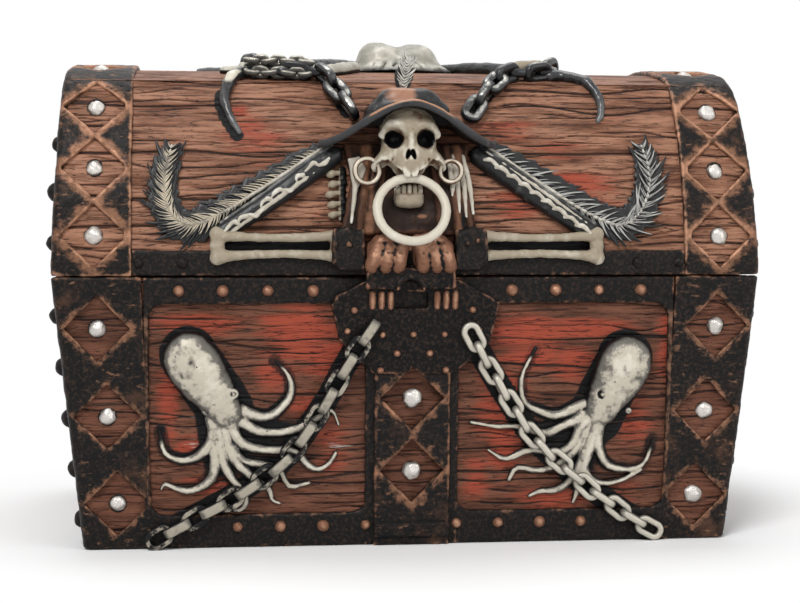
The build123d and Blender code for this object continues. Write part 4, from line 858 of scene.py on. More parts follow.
def carved_grain(along, up, seed):
    """Depth of the grain cut into wood, in millimetres, on arrays of distances along and up."""
    spots = np.stack([along, up], -1)
    up = up + 0.5 * noise(spots, (34, 12), seed) + 0.16 * noise(spots, (9, 4), seed + 1)
    depth = np.zeros(along.shape)
    cuts = ((9, 1.5, 0.17, 0.26), (13, 2.5, 0.22, 0.34), (28, 5.8, 0.34, 0.42))
    for step, (length, pitch, width, cut) in enumerate(cuts):
        row = np.floor(up / pitch)
        spots = np.stack([along + row * 37.3, row], -1)
        wander = 0.3 * noise(spots, (length * 0.6, 1), seed + 2 + step)
        gap = np.abs(up - (row + 0.5 + wander) * pitch)
        gate = ramp(noise(spots, (length, 1), seed + 12 + step), -0.1, 0.45)
        depth = np.maximum(depth, cut * gate * (1 - ramp(gap, 0.05, width * (0.5 + 0.7 * gate))))
    spots = np.stack([along, up], -1)
    fine, broad = noise(spots, (5, 0.6), seed + 30), noise(spots, (12, 2.0), seed + 31)
    return depth + 0.05 * (0.5 + 0.5 * fine) + 0.08 * (0.5 + 0.5 * broad)


def facing(name, rows, columns, wrap, seed, material, front=True):
    """Carved sheet of wood: rows of heights and columns across, with a plain back sunk in the wall."""
    face_height = 0.42
    up, across = np.meshgrid(rows, columns, indexing="ij")
    depth = carved_grain(across, up, seed)
    back_up = np.repeat(rows, 2)
    back_across = np.tile((columns[0], columns[-1]), len(rows))
    points = np.vstack([
        wrap(np.stack([across.ravel(), (face_height - depth).ravel(), up.ravel()], -1)),
        wrap(np.stack([back_across, np.full(len(back_up), -face_height), back_up], -1)),
    ])
    x, y, z = points.T
    n, m = up.shape
    cell = np.arange(n * m).reshape(n, m)
    back = n * m + np.arange(2 * n).reshape(n, 2)
    quads = np.vstack([
        np.stack([cell[:-1, :-1], cell[:-1, 1:], cell[1:, 1:], cell[1:, :-1]], -1).reshape(-1, 4),
        np.stack([back[:-1, 0], back[1:, 0], back[1:, 1], back[:-1, 1]], -1),
        np.stack([cell[:-1, 0], cell[1:, 0], back[1:, 0], back[:-1, 0]], -1),
        np.stack([cell[:-1, -1], back[:-1, 1], back[1:, 1], cell[1:, -1]], -1),
    ]).tolist()
    quads.append([*back[0].tolist(), *cell[0, ::-1].tolist()])
    quads.append([*back[-1, ::-1].tolist(), *cell[-1].tolist()])
    smooth = 0.16 - np.concatenate([depth.ravel(), np.zeros(2 * n)])
    if front:
        near = y < front_paint_y
        red = patch_mask(red_patches, x, z) * (0.62 + 0.5 * ramp(smooth, 0.0, 0.14)) * near
        # Black paint round the carvings, with painted shadow on the lid under its chains and kraken arm
        halo, chalk = halo_mask(x, z) * near, patch_mask(chalk_patches, x, z) * near
    else:
        red = 0.55 * ramp(noise(np.stack([x, z], -1), (26, 9), seed + 50), 0.1, 0.9)
        halo = chalk = np.zeros(len(x))
    board = np.stack([x, np.concatenate([up.ravel(), back_up]), np.full(len(x), seed)], -1)
    made = mesh_object(name, points, quads, material, dict(crest=smooth, red=red, halo=halo, chalk=chalk),
                       dict(board=board))
    form = bmesh.new()
    form.from_mesh(made.data)
    if form.calc_volume(signed=True) < 0:
        bmesh.ops.reverse_faces(form, faces=form.faces)
        form.to_mesh(made.data)
    form.free()
    place(made, "lid" if material is lid_wood_paint else "chest", "wood_paint")


def spread(low, high, step):
    return np.linspace(low, high, max(2, int(round((high - low) / step)) + 1))


half_base = wood_half - base_end_taper


def over_base_front(points):
    """The front of the base, with its rows widened to follow the leaning ends."""
    spots = on_base_front(points)
    spots[:, 0] *= 1 + base_end_taper * points[:, 2] / base_height / half_base
    return spots


lid_rows = np.concatenate([spread(0, front_rows, 0.2), spread(front_rows, profile_length, 0.65)[1:]])
facing("lid_wood", lid_rows, spread(0.3 - wood_half, wood_half - 0.3, 0.85), lid_sheet, 7, lid_wood_paint)
for end, side in sides:
    facing(f"lid_end_wood_{side}", spread(lid_bottom + 0.2, lid_top - 7, 0.45), spread(-30, 30, 0.8),
           mirrored(on_lid_end, end), 60 + end, lid_wood_paint, False)
    facing(f"base_end_wood_{side}", spread(0.4, base_height - 0.2, 0.4), spread(-42, 42, 0.8),
           mirrored(on_base_end, end), 80 + end, base_wood_paint, False)
facing("base_front_wood", spread(0.4, base_height - 0.2, 0.2), spread(-half_base, half_base, 0.7),
       over_base_front, 21, base_wood_paint)
facing("base_back_wood", spread(0.4, base_height - 0.2, 0.5), spread(-half_base, half_base, 1.0),
       mirrored(over_base_front, 1, -1), 35, base_wood_paint, False)


# Straps with diamond windows
strap_rough = ((0.11, 2.6), (0.07, 0.9))
base_diamonds = [(half_width - base_end_taper * (1 - z / base_height) - 8.3, z) for z in (9.6, 28.0, 46.4)]
lid_diamonds = (8.4, 23.0, 37.6)
crown_diamonds = (-21.0, 0.0, 21.0)
lid_diamond_x = 66.1


def near_frames(gaps, inner, outer):
    """1 on the edges of the diamond windows, 0 away from them."""
    return 1 - ramp(np.minimum.reduce([np.abs(gap) for gap in gaps]), inner, outer)


def base_strap(end, face, node):
    low, high = (50, -half_depth - 1.2, -0.6), (half_width + 1.2, -half_depth + strap_leg + 1, base_height + 0.6)
    clay = Clay(low, high, 0.3 if face < 0 else 0.42)
    x, y, z = clay.grid()
    fall = 1 - z / base_height
    front = -y - (half_depth - base_front_taper * fall)
    side = x - (half_width - base_end_taper * fall)
    skin = smooth_max(smooth_max(front, side, 2.4), -(np.maximum(front, side) + band + 0.15), 0.2)
    inner_edge = strap_inner_foot + (strap_inner_top - strap_inner_foot) * z / base_height
    skin = smooth_max(skin, np.maximum(inner_edge - x, y + half_depth - strap_leg), 0.5)
    clay.field = smooth_max(skin, np.maximum(-z, z - base_height), 0.5).astype(np.float32)
    for spot in base_diamonds:
        clay.keep(-np.maximum(diamond_gap(x, z, *spot), y + half_depth - 6), 0.25)
    shades = {"frame": lambda x, y, z: near_frames([diamond_gap(x, z, *spot) for spot in base_diamonds], 0.3, 3.2)}
    carve(clay, node, strap_paint, "slate_paint", mirrored(lambda points: points, end, -face), strap_rough,
          shades=shades, body="chest")


def round_lid(y, z):
    """Distance along the lid's front from its foot."""
    return front_radius * np.arctan2(z - lid_bottom, np.abs(y) + front_centre)


def lid_strap(end, node):
    low, high = (lid_strap_inner - 1, -half_depth - 1, lid_bottom - 0.8), (half_width + 1, half_depth + 1, lid_top + 1)
    clay = Clay(low, high, 0.42)
    x, y, z = clay.grid()
    profile = lid_profile(y, z)
    side = x - (half_width - lid_end_taper * (z - lid_bottom) / lid_height)
    skin = smooth_max(smooth_max(profile, side, 1.8), -(np.maximum(profile, side) + band + 0.15), 0.2)
    skin = smooth_max(skin, np.maximum(lid_strap_inner - x, lid_bottom - z), 0.5)
    clay.field = smooth_max(skin, -(profile + strap_leg), 0.5).astype(np.float32)
    for along, across in zip(lid_diamonds, crown_diamonds):
        gap = diamond_gap(x, round_lid(y, z), lid_diamond_x, along)
        clay.keep(-np.maximum(gap, half_width - 15 - x), 0.25)
        clay.keep(-np.maximum(diamond_gap(x, y, lid_diamond_x, across), lid_top - 8 - z), 0.25)

    def frame_share(x, y, z):
        gaps = [diamond_gap(x, round_lid(y, z), lid_diamond_x, along) for along in lid_diamonds]
        below = 9 * (z < lid_top - 8)
        gaps += [np.abs(diamond_gap(x, y, lid_diamond_x, across)) + below for across in crown_diamonds]
        return near_frames(gaps, 0.4, 4.0)

    carve(clay, node, lid_strap_paint, "slate_paint", mirrored(lambda points: points, end), strap_rough, 0.8,
          {"frame": frame_share})


for face, word in ((-1, "front"), (1, "back")):
    for end, side in sides:
        base_strap(end, face, f"base_strap_{word}_{side}")
for end, side in sides:
    lid_strap(end, f"lid_strap_{side}")


# Bands: dark frames round the panels, with rounded corners
def panel_gap(x, z, low_x, high_x, low_z, high_z, corner):
    across = np.abs(x - (low_x + high_x) / 2) - (high_x - low_x) / 2 + corner
    up = np.abs(z - (low_z + high_z) / 2) - (high_z - low_z) / 2 + corner
    return rounded_gap(across, up) - corner


def flat_band(name, low, high, foot, top, wrap, step, panel=None):
    """Band between two heights, open at its panel."""
    spare = 0.6 if panel else 0.8
    clay = Clay((low - 0.6, -0.6, foot - spare), (high + 0.6, band + 0.8, top + spare), step)
    x, y, z = clay.grid()
    body = np.maximum(np.maximum(low - x, x - high), np.maximum(foot - z, z - top))
    if panel:
        body = smooth_max(body, -panel_gap(x, z, *panel, foot_top, rim_foot, 3.4), 0.2)
    clay.field = smooth_max(body, np.maximum(-0.2 - y, y - band), 0.5).astype(np.float32)
    return clay.fire(name, band_paint, wrap, strap_rough)


front_edge = strap_inner_foot + 1.8
end_edge = 38.5
on_base_back = mirrored(on_base_front, 1, -1)
place(joined("base_band_frames", [flat_band("frame_" + name, low, high, 0, base_height, wrap, step, panel)
                                  for name, low, high, wrap, step, panel in (
    ("front_left", -front_edge, -9.3, on_base_front, 0.35, (-55.0, -9.6)),
    ("front_right", 9.3, front_edge, on_base_front, 0.35, (9.6, 55.0)),
    ("back", -front_edge, front_edge, on_base_back, 0.6, (-55.0, 55.0)),
    ("left", -end_edge, end_edge, mirrored(on_base_end, -1), 0.6, (-37.0, 37.0)),
    ("right", -end_edge, end_edge, on_base_end, 0.6, (-37.0, 37.0)),
)]), "chest", "slate_paint", "base_rim_bands", "base_foot_bands")
place(joined("lid_bands", [flat_band("band_" + name, -half, half, lid_bottom, lid_rim_top, wrap, step)
                           for name, half, wrap, step in (
    ("front", lid_strap_inner, on_lid_front, 0.35),
    ("back", lid_strap_inner, mirrored(on_lid_front, 1, -1), 0.55),
    ("left", end_edge, mirrored(on_lid_end, -1), 0.55),
    ("right", end_edge, on_lid_end, 0.55),
)]), "lid", "slate_paint", "lid_rim_bands")


# Centre strap, its backing, the lock plate and the finger tips
centre_diamonds = ((0, 16.0), (0, 31.5))


def centre_piece(half, top, low, high):
    clay = Clay((-half - 0.6, low - 0.6, -0.6), (half + 0.6, high + 0.8, top + 0.6), 0.33)
    clay.add(plate([(-half, 0), (half, 0), (half, top), (-half, top)], low, high, 0.4))
    x, y, z = clay.grid()
    for spot in centre_diamonds:
        clay.keep(-diamond_gap(x, z, *spot), 0.25)
    return clay


carve(centre_piece(9.9, base_height, -0.2, band), "centre_backing", band_paint, "slate_paint", on_base_front,
      strap_rough, body="chest")
strap = centre_piece(8.0, 41.0, band - 0.4, band + 0.95)
strap.add(slab((0, band + 0.8, 3.4), (8.0, 0.95, 1.5), 0.4), 0.2)
carve(strap, "centre_strap", strap_paint, "slate_paint", on_base_front, strap_rough, shades={
    "frame": lambda x, y, z: near_frames([diamond_gap(x, z, *spot) for spot in centre_diamonds], 0.4, 4.0)
    + 0.25 * (1 - ramp(z, 8, 13)),
}, body="chest")

lock = Clay((-19.5, -0.4, 35.5), (19.5, 4.2, 57.6), 0.25)
lock_outline = rows_of(2, -9.9, 56.6, -16.2, 53.2, -17.2, 51.3, -15.6, 44, -8.5, 36.9, 8.8, 36.9, 16.2, 43,
                       18.2, 51.8, 9.7, 56.6)
lock.add(plate(lock_outline, band - 0.6, band + 1.55, 0.4))
lock.cut(slab((figure_x + 0.4, 3.0, 52.4), (3.5, 1.9, 1.8), 0.3), 0.2)
lock.cut(plate([(0, 38.3), (6.8, 31.5), (0, 24.7), (-6.8, 31.5)], 0, 5, 0.1), 0.2)
carve(lock, "lock_plate", plate_paint, "slate_paint", on_base_front, strap_rough, body="chest")

tips = Clay((-12, 1.5, 49.2), (12, 4.6, 55.4), 0.2)
for tips.side in (-1, 1):
    for x in (4.9, 6.8, 8.7):
        tips.rod([(x, 2.9, 50.9, 0.62), (x, 3.1, 52.5, 0.72), (x, 3.0, 53.8, 0.66)], 0.1)
carve(tips, "lock_fingertips", copper_paint, "copper_paint", on_base_front, ((0.05, 0.8),), body="chest")


# Geometry trees that set heads, links and barbs on points
def named(add, name):
    return add("GeometryNodeInputNamedAttribute", {"Name": name}, data_type="FLOAT_VECTOR")


def shape_tree(name, **kinds):
    """A geometry tree's inputs and adder, and its end: realized, changed, shaded and painted."""
    kinds = {"Geometry": "Geometry", **kinds, "Seed": "Int", "Paint": "Material"}
    given, add, finish = new_tree(name, "Geometry", "Geometry", **kinds)

    def end(instances, change=lambda shape: shape):
        """Keeps how far each point faces out of the wall."""
        shape = change(add("GeometryNodeRealizeInstances", {"Geometry": instances}))
        facts = {0: add("GeometryNodeInputNormal"), 1: named(add, "out")}
        lit = add("VectorMath", facts, "Value", operation="DOT_PRODUCT")
        kept = add("GeometryNodeStoreNamedAttribute", {"Geometry": shape, "Name": "up", "Value": lit},
                   data_type="FLOAT", domain="POINT")
        smooth = add("GeometryNodeSetShadeSmooth", {"Geometry": kept})
        return finish(add("GeometryNodeSetMaterial", {"Geometry": smooth, "Material": given["Paint"]}))

    return given, add, end


def make_heads_tree():
    given, add, end = shape_tree("hammered heads", Radius="Float", Height="Float", Unevenness="Float")
    head = add("GeometryNodeMeshUVSphere", {"Segments": 20, "Rings": 14, "Radius": 1.0}, "Mesh")
    size = add("CombineXYZ", {"X": given["Radius"], "Y": given["Radius"], "Z": given["Height"]})
    turn = add("FunctionNodeAlignRotationToVector", {"Vector": named(add, "out")}, axis="Z")
    vary = add("FunctionNodeRandomValue", {"Seed": given["Seed"], 2: 0.9, 3: 1.12}, 1, data_type="FLOAT")
    set_on = add("GeometryNodeInstanceOnPoints", {
        "Points": given["Geometry"], "Instance": head, "Rotation": turn, "Scale": times(add, size, vary)})

    def dent(shape):
        where = add("GeometryNodeInputPosition")
        dents = add("TexNoise", {"Vector": where, "Scale": 620.0, "Detail": 2.0}, "Color")
        level = add("VectorMath", {0: dents, 1: (0.5, 0.5, 0.5)}, operation="SUBTRACT")
        offset = times(add, level, given["Unevenness"])
        return add("GeometryNodeSetPosition", {"Geometry": shape, "Offset": offset})

    return end(set_on, dent)


def make_links_tree():
    """Bent chain links."""
    names = ("Length", "Width", "Bar", "Roundness", "Jitter")
    given, add, end = shape_tree("chain links", **dict.fromkeys(names, "Float"))

    def rounded(wide, high, radius, count):
        curve = add("GeometryNodeCurvePrimitiveQuadrilateral", {"Width": wide, "Height": high})
        return add("GeometryNodeFilletCurve", {"Curve": curve, "Radius": radius, "Count": count}, mode="POLY")

    wide = calc(add, "SUBTRACT", given["Width"], given["Bar"])
    long = calc(add, "SUBTRACT", given["Length"], given["Bar"])
    oval = rounded(long, wide, calc(add, "MULTIPLY", wide, 0.48), 5)
    profile = rounded(given["Bar"], given["Bar"], calc(add, "MULTIPLY", given["Bar"], given["Roundness"]), 3)
    link = add("GeometryNodeCurveToMesh", {"Curve": oval, "Profile Curve": profile})
    set_on = add("GeometryNodeInstanceOnPoints", {
        "Points": given["Geometry"], "Instance": link, "Rotation": named(add, "turn")})
    shake = add("FunctionNodeRandomValue", {"Seed": given["Seed"], 0: (-1, -1, -1), 1: (1, 1, 1)},
                data_type="FLOAT_VECTOR")
    turn = times(add, shake, given["Jitter"])
    return end(add("GeometryNodeRotateInstances", {"Instances": set_on, "Rotation": turn}))


def make_barbs_tree():
    given, add, end = shape_tree("feather barbs", Sway="Float", Unevenness="Float")
    bow = add("CombineXYZ", {"X": 0.55, "Y": given["Sway"]})
    line = add("GeometryNodeCurveQuadraticBezier", {
        "Resolution": 5, "Start": (0.0, 0.0, 0.0), "Middle": bow, "End": (1.0, 0.0, 0.0)})
    part = add("GeometryNodeSplineParameter", output="Factor")
    thin = add("MapRange", {"Value": part, "From Min": 0.0, "From Max": 1.0, "To Min": 1.0, "To Max": 0.12})
    line = add("GeometryNodeSetCurveRadius", {"Curve": line, "Radius": thin})
    profile = add("GeometryNodeCurvePrimitiveCircle", {"Resolution": 6, "Radius": 0.5}, mode="RADIUS")
    blade = add("GeometryNodeCurveToMesh", {
        "Curve": line, "Profile Curve": profile, "Scale": thin, "Fill Caps": True})
    low = calc(add, "SUBTRACT", 1.0, given["Unevenness"])
    vary = add("FunctionNodeRandomValue", {"Seed": given["Seed"], 2: low, 3: 1.0}, 1, data_type="FLOAT")
    return end(add("GeometryNodeInstanceOnPoints", {
        "Points": given["Geometry"], "Instance": blade, "Rotation": named(add, "turn"),
        "Scale": times(add, named(add, "size"), vary)}))


heads_tree, links_tree, barbs_tree = make_heads_tree(), make_links_tree(), make_barbs_tree()


def set_tree(name, spots, vectors, tree, inputs, body, slot, *nodes):
    """Points with vector attributes, run through a geometry tree into a plain mesh piece."""
    maker = mesh_object(name + "_maker", spots, vectors=vectors)
    setting = maker.modifiers.new("tree", "NODES")
    setting.node_group = tree
    for item in tree.interface.items_tree:
        if item.name in inputs:
            setting[item.identifier] = inputs[item.name]
    bpy.context.view_layer.update()
    mesh = bpy.data.meshes.new_from_object(maker.evaluated_get(bpy.context.evaluated_depsgraph_get()))
    mesh.name = name
    bpy.data.objects.remove(maker)
    made = bpy.data.objects.new(name, mesh)
    bpy.context.scene.collection.objects.link(made)
    return place(made, body, slot, *nodes)


# Studs and rivets
def outward(spot):
    """Direction out of the wall under a point of the chest, in millimetres."""
    x, y, z = spot
    if z > base_height:
        slope = lid_end_taper / lid_height
        front = lid_profile(y, z), (0, y + math.copysign(front_centre, y), z - lid_bottom)
        if z > lid_top - 4.0:
            front = 0.0, (0, y, z - crown_centre)
        end = abs(x) - half_width + slope * (z - lid_bottom), (math.copysign(1, x), 0, slope)
    else:
        fall = 1 - z / base_height
        front_out = (0, math.copysign(base_height, y), -base_front_taper)
        end_out = (math.copysign(base_height, x), 0, -base_end_taper)
        front = abs(y) - half_depth + base_front_taper * fall, front_out
        end = abs(x) - half_width + base_end_taper * fall, end_out
    out = np.array(max(front, end, key=lambda choice: choice[0])[1], float)
    return out / np.linalg.norm(out)


silver = stud_paint, "silver_paint"
dark = band_paint, "slate_paint"
bronze = copper_paint, "copper_paint"
for name, node, at_end, (material, slot), radius, height, unevenness, sink, seed in (
    ("base_stud_heads", "base_studs", None, silver, 1.85, 1.5, 0.0011, 0.75, 3),
    ("lid_stud_heads", "lid_studs", None, silver, 1.9, 1.6, 0.0011, 0.75, 5),
    ("base_side_rivets", "base_rivets", True, dark, 1.8, 1.55, 0.0005, 0.7, 7),
    ("base_front_rivets", "base_rivets", False, bronze, 1.15, 1.0, 0.0004, 0.45, 9),
    ("lock_rivet_heads", "lock_rivets", None, bronze, 0.66, 0.55, 0.0002, 0.2, 11),
    ("lid_side_rivets", "lid_rivets", True, dark, 1.8, 1.5, 0.0005, 0.7, 13),
    ("lid_front_rivets", "lid_rivets", False, dark, 1.15, 1.0, 0.0004, 0.45, 15),
):
    body = "lid" if node.startswith("lid") else "chest"
    spots = [spot for spot in solid_centres(node)
             if at_end is None or at_end == (abs(spot[0]) > half_width - base_end_taper - 1.5)]
    outs = [outward(spot) for spot in spots]
    inputs = dict(Radius=radius * MM, Height=height * MM, Unevenness=unevenness, Seed=seed, Paint=material)
    set_tree(name, np.array(spots) - np.array(outs) * sink, {"out": outs}, heads_tree, inputs, body, slot,
             *(() if at_end else (node,)))


# Octopuses
octopus_eyes = {-1: ((2.4, 3.4), (-3.4, -0.4)), 1: ((0.3, 2.6), (6.6, -1.2))}


def octopus(side, node):
    centre_x, centre_z = octopus_places[side]
    clay = Clay((centre_x - 29, -0.9, 3), (centre_x + 29, 6.8, 54), 0.25)
    clay.rod([(x, 2.0 * size, z, mantle_radius * size)
              for (x, z), size in zip(mantle_paths[side], mantle_sizes[side])], flat=0.6, count=16)
    for index, arm in enumerate(octopus_arms[side]):
        lift = 0.45 + 0.35 * (index % 2)
        clay.rod([(x, lift, z, r) for (x, z), r in zip(arm, np.linspace(1.5, 0.4, len(arm)))], 0.25, count=18)
    for (dx, dz), rise, size in zip(octopus_eyes[side], (2.9, 2.1), (1.0, 0.7)):
        x, z = centre_x + dx, centre_z + dz
        clay.add(blob((x, rise, z), (1.2 * size, size, 1.2 * size)), 0.4)
        clay.cut(hoop((x, rise + 0.85 * size, z), (0, 1, 0), 0.62 * size, 0.3 * size), 0.1)

    def tip(x, y, z):
        gaps = [np.hypot(x - arm[-1, 0], z - arm[-1, 1]) for arm in octopus_arms[side][:2]]
        return bell(np.minimum(*gaps), 0, 3.4)

    carve(clay, node, octopus_paint, "bone_paint", on_base_front, ((0.14, 4.2), (0.12, 1.6), (0.06, 0.7)),
          shades={"tip": tip}, body="chest")


for side, word in sides:
    octopus(side, f"octopus_{word}")


# Chains
def angles_of(along, out):
    """Euler angles that turn x to along and z to out."""
    along = along / np.linalg.norm(along)
    out = out - along * (out @ along)
    out /= np.linalg.norm(out)
    return Matrix(np.array([along, np.cross(out, along), out]).T.tolist()).to_euler()


def chain(name, path, wrap, pitch, lift, first_edge_on, sorts, body, roundness, jitter, seed, *nodes):
    """Links along a path of skin points, each turned by a quarter; sorts are (length, width, bar, paint)."""
    fine = smooth_path(path, 200)
    steps = np.concatenate([[0], np.cumsum(np.linalg.norm(np.diff(fine, axis=0), axis=1))])
    count = int(round(steps[-1] / pitch)) + 1
    marks = np.linspace(0, steps[-1], count)
    x, z = (np.interp(marks, steps, column) for column in fine.T)
    rise = lift + (1.7 * ramp(z, 36.5, 41.5) if body == "chest" else 0 * z)
    rows = np.stack([x, rise, z], -1)
    spots = wrap(rows)
    outs = wrap(rows + np.array([0, 1, 0])) - spots
    turns = []
    for index, (along, out) in enumerate(zip(np.gradient(spots, axis=0), outs)):
        edge_on = (index + first_edge_on) % 2
        turns.append(angles_of(along, np.cross(along, out) if edge_on else out))
    made = []
    for first, (length, width, bar_size, material) in enumerate(sorts):
        every = slice(first, None, len(sorts))
        inputs = dict(Length=length * MM, Width=width * MM, Bar=bar_size * MM, Roundness=roundness, Jitter=jitter,
                      Seed=seed + first, Paint=material)
        made.append(set_tree(name, spots[every], {"turn": turns[every], "out": outs[every]}, links_tree, inputs,
                             body, "silver_paint"))
    whole = joined(name, made) if len(made) > 1 else made[0]
    if nodes:
        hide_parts(*nodes)


chain("front_chain_left_links", front_chain_paths[-1], on_base_front, 4.1, 2.3, 1,
      ((6.4, 3.4, 2.15, chain_paint), (6.6, 4.6, 1.25, edged_chain_paint)),
      "chest", 0.2, 0.06, 3, "front_chain_left")
chain("front_chain_right_links", front_chain_paths[1], on_base_front, 4.3, 2.3, 0,
      ((6.9, 4.3, 1.35, pale_chain_paint), (6.6, 3.8, 1.6, pale_chain_paint)),
      "chest", 0.4, 0.12, 8, "front_chain_right")
lid_chain_paths = {
    -1: over_edge(((-34, 17), (-30.5, 8.5), (-26, 2.6)), ((-21.6, 102.2), (-17.6, 98.4), (-13.2, 92.2))),
    1: over_edge(((35, 12), (31, 4.5)), ((27.3, 102.6), (22.4, 99.6), (18.2, 95.8), (14.6, 91.8))),
}
for side, word in sides:
    chain(f"lid_chain_{word}_links", lid_chain_paths[side], over_top, 4.5, 2.1, 1,
          ((7.6, 4.9, 2.0, dark_chain_paint),), "lid", 0.36, 0.14, 20 + side, f"lid_chain_{word}")
braid_path = rows_of(2, -34.0, 4.6, -29.5, 3.8, -25.5, 3.4, -22.0, 3.2)
for row, (lift, back) in enumerate(((1.9, -1.2), (2.1, 1.4), (4.2, 0.1))):
    chain(f"lid_braid_{row}", braid_path + (0, back), over_top, 1.9, lift, row % 2,
          ((3.9, 2.8, 1.15, braid_paint),), "lid", 0.4, 0.2, 30 + row)
rope_end = Clay((22.5, -0.2, 1.0), (34, 6, 9), 0.25)
rope_end.rod([(24.0, 2.8, 4.6, 1.3), (27, 3.4, 5.2, 1.35), (31.2, 3.5, 5.6, 1.3)])
for turn in range(5):
    rope_end.cut(bar([(24.6 + turn * 1.4, 5.3, 4.2, 0.25), (25.4 + turn * 1.4, 4.8, 6.6, 0.25)]), 0.3)
place(rope_end.fire("lid_rope_end", bone_paint, over_top, ((0.08, 0.9),), 0.5), "lid", "bone_paint")


# The figure, in the chest's own directions. Forms with figure_x as their middle take sizes from there.
ring_tilt = math.radians(24)
ring_radius = 7.05
pivot_y, pivot_z = -52.0, 77.4
ring_y, ring_z = pivot_y - ring_radius * math.sin(ring_tilt), pivot_z - ring_radius * math.cos(ring_tilt)
room = bar([(x, pivot_y, pivot_z, ring_radius - math.sqrt(5.8**2 - x**2) + 0.42)
            for x in (-4.6, -3, -1.4, 0, 1.4, 3, 4.6)])


def keep_outside(clay):
    """Trims what lies deep in the lid's wall."""
    x, y, z = clay.grid()
    wall_depth = 2.0
    clay.keep(-(lid_profile(y, np.maximum(z, lid_bottom)) + band + wall_depth))


def hollows(x, y, z):
    """Dark paint deep in the sockets and the nose, and behind the cheeks."""
    x = np.abs(x - figure_x)
    socket = 1 - np.hypot((x - 3.4) / 2.4, (z - 85.6) / 2.2)
    nose = 1 - np.hypot((x - 0.65) / 0.95, (z - 82.3) / 1.6)
    dark = np.maximum(np.where(y > -52.4, socket * 3, 0), np.where(y > -53.5, nose * 2.5, 0))
    return np.maximum(dark, ramp(y, -49.2, -47.6))


skull = Clay((-8.7, -56.2, 76.2), (8.7, -40, 95.2), 0.2, 1, figure_x)
for centre, radii, soft in (
    ((0, -46.6, 87.6), (6.2, 6.6, 6.4), 0), ((0, -49.4, 88.8), (5.3, 4.4, 3.8), 1.4),
    ((0, -49.4, 83.4), (5.9, 3.9, 3.4), 1.6), ((0, -49.8, 81.2), (3.6, 4.2, 4.2), 1.2),
):
    skull.add(blob(centre, radii), soft)
skull.add(slab((0, -51.2, 80.0), (3.0, 2.4, 1.5), 1.2), 0.9)
for skull.side in (-1, 1):
    cheek = rows_of(4, 2.2, -52.2, 82.2, 1.3, 3.8, -51.9, 82.0, 1.75, 5.4, -50.9, 81.2, 1.75, 6.7, -49.4, 80.0, 1.2)
    brow = rows_of(4, 0.9, -53.0, 87.9, 0.8, 2.6, -53.1, 88.7, 0.85, 4.4, -52.2, 88.5, 0.8, 5.7, -50.8, 86.6, 0.75)
    skull.rod(cheek, 1.6, count=10)
    skull.rod(brow, 1.3, count=12)
    skull.cut(blob((3.4, -53.6, 85.6), (2.2, 4.6, 2.05), -0.3), 0.45)
    skull.cut(blob((5.2, -52.6, 77.9), (1.6, 3.4, 1.2), 0.5), 0.4)
    skull.cut(blob((0.5, -54.4, 82.7), (0.55, 2.6, 1.45), 0.25), 0.2)
    for stroke in range(4):
        x, z = 2.7 + stroke * 1.05, 81.6 - stroke * 0.15
        foot = (x + 0.7, -53.2 + stroke * 0.7, z - 2.0, 0.26)
        skull.cut(bar([(x, -54.0 + stroke * 0.5, z, 0.2), foot]), 0.15)
skull.rod([(0, -53.5, 86.6, 0.6), (0, -53.5, 85.2, 0.7), (0, -53.5, 84.0, 0.45)], 0.8)
for offset, size in ((-0.85, 1.0), (0.85, 1.0), (-2.3, 0.75), (2.3, 0.75)):
    skull.add(slab((offset, -53.6 + abs(offset) * 0.35, 78.9), (0.78 * size, 0.6, 1.3 * size), 0.3), 0.06)
skull.cut(room, 0.2)
keep_outside(skull)
carve(skull, "skull", bone_paint, "bone_paint", None, ((0.16, 1.9), (0.08, 0.6)), 0.8, {"dark": hollows})

jaw = Clay((-4.7, -53.4, 70.6), (4.7, -42, 77.4), 0.18, 1, figure_x)
jaw.add(slab((0, -48.9, 73.2), (3.1, 2.2, 1.7), 1.3))
jaw.add(blob((0, -50.4, 72.7), (2.5, 1.3, 1.3)), 0.8)
jaw.add(slab((0, -46.0, 74.2), (3.2, 3.2, 1.6), 0.8), 0.6)
for offset in (-2.3, -1.15, 0.0, 1.15, 2.3):
    jaw.add(slab((offset, -50.7 + abs(offset) * 0.2, 75.3), (0.47, 0.5, 0.95), 0.25), 0.1)
jaw.cut(room, 0.2)
keep_outside(jaw)
carve(jaw, "lower_jaw", bone_paint, "bone_paint", None, ((0.07, 1.0),), 0.5)

ring = Clay((-9, ring_y - 5, ring_z - 9), (9, ring_y + 5, ring_z + 9), 0.2, 1, figure_x)
ring.add(hoop((0, ring_y, ring_z), (0, -math.cos(ring_tilt), math.sin(ring_tilt)), ring_radius + 0.1, 0.98))
carve(ring, "mouth_ring", ring_paint, "bone_paint", None, ((0.05, 2.0), (0.04, 0.7)), body="ring")

earrings = Clay((-13.6, -53.5, 75.4), (11.4, -47.4, 82.6), 0.16)
earrings.add(hoop((-9.75, -50.5, 79.0), (0.15, -1, 0.1), 2.6, 0.55))
earrings.add(hoop((7.85, -50.5, 79.0), (-0.3, -1, 0.1), 2.25, 0.52))
carve(earrings, "earrings", earring_paint, "copper_paint", None, ((0.04, 0.9),), 0.4)

# Hat, with a curled brim
brim_half = 19.5
brim_drop = 8.1


def brim_height(span):
    return 84.0 + brim_drop * (np.cos(np.pi * np.clip(span / brim_half, -1, 1)) + 1) / 2


def brim_front(span):
    return -56.0 + 9.4 * np.abs(span / 18.2) ** 2.2


